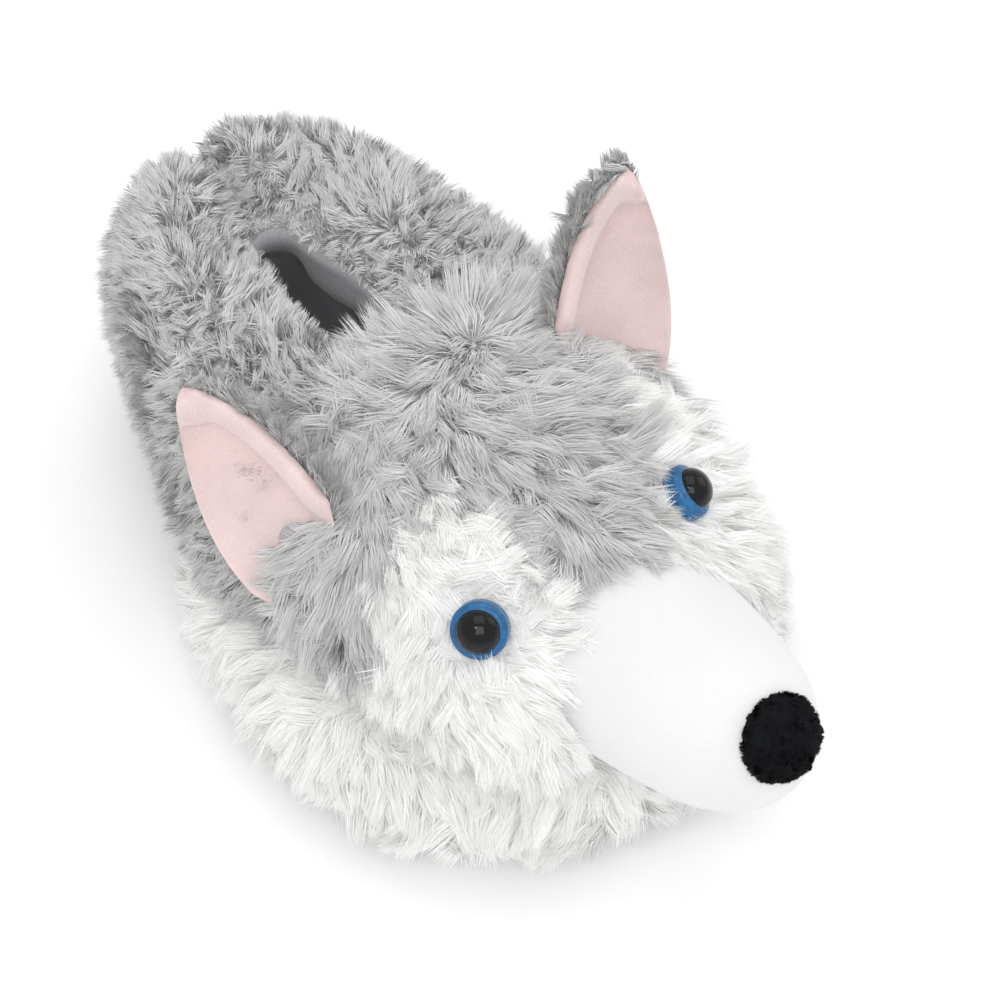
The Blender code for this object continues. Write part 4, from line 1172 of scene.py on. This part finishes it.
def make_ears():
    """Ears: gray fur behind, pink velour inside with its rolled rim and the fold under the rim."""
    tint = colours()
    pink = nap_material("ear velour", toned(tint.pink, 0.93), toned(tint.pink, 1.04), 1300.0, 70.0, 0.00025, 0.9, 0.5, 0.15)
    s = sizes()
    for index, (which, placing) in enumerate(EARS.items()):
        frame_ = ear_frame(*placing)
        up = np.linspace(-0.10, 0.985, 70)[:, None]
        over = np.linspace(-1.0, 1.0, 64)[None, :]
        reach = np.linalg.norm(frame_[1])
        wide = (0.56 * (1.0 - up) + 0.44 * np.sqrt(1.0 - np.clip(up, 0.0, 1.0) ** 2)) * reach
        from_inner = (1.0 + over) * wide
        from_tip = (1.0 - up) * s.ear_height * placing[5] * 0.85 + 0.004 * smooth(0.2, 0.9, over)
        roll_size = 0.0050
        to_edge = -0.0022 * np.log(np.exp(-from_inner / 0.0022) + np.exp(-from_tip / 0.0022))
        to_edge = np.maximum(to_edge, 0.0)
        roll = np.sqrt(np.clip(1.0 - ((to_edge - roll_size) / roll_size) ** 2, 0.0, 1.0))
        roll = roll * 0.0052 * (1.0 - 0.55 * smooth(0.5, 1.0, over)) * smooth(-0.1, 0.12, up + 0.0 * over)
        trough = 0.0014 * np.exp(-(((to_edge - 2.5 * roll_size) / 0.003) ** 2))
        crease = 0.0009 * np.exp(-(((to_edge - 3.6 * roll_size) / 0.0016) ** 2)) * smooth(0.35, 0.6, up) * (1.0 - smooth(0.8, 0.95, up))
        full_up = up + 0.0 * over
        full_over = over + 0.0 * up
        round_across = np.sqrt(np.clip(1.0 - over**2, 0.0, 1.0))
        shut_tip = np.sqrt(1.0 - np.clip((up - 0.92) / 0.065, 0.0, 1.0) ** 2)
        shut_side = np.sqrt(1.0 - np.clip((over - 0.80) / 0.20, 0.0, 1.0) ** 2)
        front = 0.25 * s.ear_thickness * round_across + (roll - trough - crease) * shut_side
        points = ear_sheet(frame_, full_up, full_over, front * shut_tip)
        ahead = np.broadcast_to(frame_[3], points.shape)
        normal = grid_normals(points, False, ahead)
        lining = skin("ear_velour_" + which, points, normal, pink, joined=False)
        finish_piece(lining, "ear_lining", "ear_lining_" + which)
        behind = ear_sheet(frame_, full_up, full_over, -0.70 * s.ear_thickness * round_across * shut_tip)
        back_normal = grid_normals(behind, False, -ahead)
        shell = skin("ear_plush_" + which, behind, back_normal, gray_backing_painted_shade(), joined=False)
        finish_piece(shell, "ear", "ear_" + which)
        draw = np.random.default_rng(81 + index)
        weight = (1.0 + 1.5 * smooth(0.6, 1.0, -over)) * (1.0 - smooth(0.55, 0.85, over)) + 0.0 * up
        root, out = scattered(behind, back_normal, 15000, draw, False, weight)
        keep = ~in_head(root, 0.003)
        root, out = root[keep], out[keep]
        away = root - frame_[0]
        high = (away @ frame_[2]) / (frame_[2] @ frame_[2]) / s.ear_height
        flow = 0.5 * frame_[2] - 0.9 * unit(frame_[1]) + 0.5 * vector_waves(root, 0.03, 83)
        size = pile().ear * (1.0 - 0.45 * smooth(0.65, 0.95, high))
        piece = grow(
            "ear_fur_" + which, root, out, flow, gray_pile(), draw, size, 0.95, 0.4,
            tuft=0.005, pull=0.55, wander=0.35, stray=0.12,
        )
        finish_piece(piece, "ear")


def make_sole():
    """Outsole cloth and the footbed's velour."""
    tint = colours()
    cloth = nap_material("sole cloth", toned(tint.sole, 0.8), toned(tint.sole, 1.3), 1800.0, 60.0, 0.0002, 0.95, 0.1)
    footbed = nap_material("footbed velour", toned(tint.lining, 0.75), toned(tint.lining, 1.05), 1400.0, 30.0, 0.00012, 0.85, 0.25)
    for node, look in (("outsole", cloth), ("insole", footbed)):
        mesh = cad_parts[node].data
        mesh.materials.clear()
        mesh.materials.append(look)


def make_stage():
    """Pale flat floor, soft studio lights, and the camera at the photo's angle."""
    floor_look, _, shader = new_material("studio floor", 0.95, 0.0, 0.1)
    shader.inputs["Base Color"].default_value = (0.97, 0.97, 0.97, 1.0)
    width = 6.0
    mesh = fill_mesh(
        "floor",
        np.array([(-width, -width, 0.0), (width, -width, 0.0), (width, width, 0.0), (-width, width, 0.0)]),
        np.array([0, 1, 2, 3]),
        np.array([4]),
    )
    link(mesh, "floor", floor_look)
    world = bpy.context.scene.world or bpy.data.worlds.new("studio")
    bpy.context.scene.world = world
    world.use_nodes = True
    world.node_tree.nodes["Background"].inputs["Color"].default_value = (1.0, 1.0, 1.0, 1.0)
    world.node_tree.nodes["Background"].inputs["Strength"].default_value = 0.82
    # name, place, size, watts
    lamps = (
        ("key", (-0.55, -0.75, 1.35), 0.9, 6.2),
        ("top", (0.25, 0.35, 1.50), 1.2, 4.5),
        ("right", (1.20, -0.30, 0.80), 0.8, 1.5),
        ("catch", (-0.62, -0.20, 1.20), 0.12, 0.8),
    )
    for name, spot, size, power in lamps:
        lamp = bpy.data.lights.new(name, "AREA")
        lamp.size = size
        lamp.energy = power
        holder = bpy.data.objects.new(name, lamp)
        bpy.context.scene.collection.objects.link(holder)
        aim(holder, spot, (0.0, -0.02, 0.05))
    camera = bpy.data.cameras.new("camera")
    camera.lens = 79.02
    camera.sensor_width = 36.0
    camera.shift_x = 0.0835
    camera.shift_y = -0.0337
    camera.clip_start = 0.01
    eye = bpy.data.objects.new("camera", camera)
    bpy.context.scene.collection.objects.link(eye)
    aim(eye, (-0.2786, -0.3587, 0.6441), (0.0, 0.0, 0.050))
    bpy.context.scene.camera = eye
    bpy.context.scene.view_settings.view_transform = "Standard"


def aim(holder, spot, target):
    """Puts a lamp or the camera at a spot, looking at the target with its top up."""
    from mathutils import Matrix

    spot, target = np.array(spot, float), np.array(target, float)
    back = unit(spot - target)
    right = unit(np.cross([0.0, 0.0, 1.0], back))
    up = np.cross(back, right)
    turned = np.eye(4)
    turned[:3, 0], turned[:3, 1], turned[:3, 2], turned[:3, 3] = right, up, back, spot
    holder.matrix_world = Matrix(turned.tolist())


# Operators and panel


class SlipperCollar(bpy.types.Operator):
    """Makes the gray roll round the opening, its lining and its pile"""

    bl_idname = "slipper.collar"
    bl_label = "Collar and lining"

    def execute(self, context):
        make_collar()
        return {"FINISHED"}


class SlipperHead(bpy.types.Operator):
    """Makes the head and its gray and white fur"""

    bl_idname = "slipper.head"
    bl_label = "Head"

    def execute(self, context):
        make_head()
        return {"FINISHED"}


class SlipperFrontRoll(bpy.types.Operator):
    """Makes the white roll round the front"""

    bl_idname = "slipper.front_roll"
    bl_label = "Front roll"

    def execute(self, context):
        make_skirt()
        return {"FINISHED"}


class SlipperMuzzle(bpy.types.Operator):
    """Makes the muzzle and the nose"""

    bl_idname = "slipper.muzzle"
    bl_label = "Muzzle and nose"

    def execute(self, context):
        make_muzzle()
        return {"FINISHED"}


class SlipperEyes(bpy.types.Operator):
    """Makes both eyes"""

    bl_idname = "slipper.eyes"
    bl_label = "Eyes"

    def execute(self, context):
        make_eyes()
        return {"FINISHED"}


class SlipperEars(bpy.types.Operator):
    """Makes both ears"""

    bl_idname = "slipper.ears"
    bl_label = "Ears"

    def execute(self, context):
        make_ears()
        return {"FINISHED"}


class SlipperSole(bpy.types.Operator):
    """Finishes the outsole and the footbed"""

    bl_idname = "slipper.sole"
    bl_label = "Sole and footbed"

    def execute(self, context):
        make_sole()
        return {"FINISHED"}


class SlipperStage(bpy.types.Operator):
    """Makes the floor, the lights and the camera"""

    bl_idname = "slipper.stage"
    bl_label = "Studio"

    def execute(self, context):
        make_stage()
        return {"FINISHED"}


OPERATORS = (
    SlipperCollar,
    SlipperHead,
    SlipperFrontRoll,
    SlipperMuzzle,
    SlipperEyes,
    SlipperEars,
    SlipperSole,
    SlipperStage,
)


class SlipperPanel(bpy.types.Panel):
    """Lists the slipper's pieces"""

    bl_idname = "VIEW3D_PT_slipper"
    bl_label = "Husky slipper"
    bl_space_type = "VIEW_3D"
    bl_region_type = "UI"
    bl_category = "Slipper"

    def draw(self, context):
        for operator in OPERATORS:
            self.layout.operator(operator.bl_idname)


PROPERTIES = (
    ("slipper_sizes", SlipperSizes),
    ("slipper_pile", SlipperPile),
    ("slipper_colours", SlipperColours),
)


def register():
    for name, kind in PROPERTIES:
        bpy.utils.register_class(kind)
        setattr(bpy.types.Scene, name, bpy.props.PointerProperty(type=kind))
    for kind in (*OPERATORS, SlipperPanel):
        bpy.utils.register_class(kind)


def unregister():
    for kind in (SlipperPanel, *reversed(OPERATORS)):
        bpy.utils.unregister_class(kind)
    for name, kind in reversed(PROPERTIES):
        delattr(bpy.types.Scene, name)
        bpy.utils.unregister_class(kind)


def main():
    register()
    for operator in OPERATORS:
        family, name = operator.bl_idname.split(".")
        getattr(getattr(bpy.ops, family), name)()


if __name__ == "__main__":
    main()
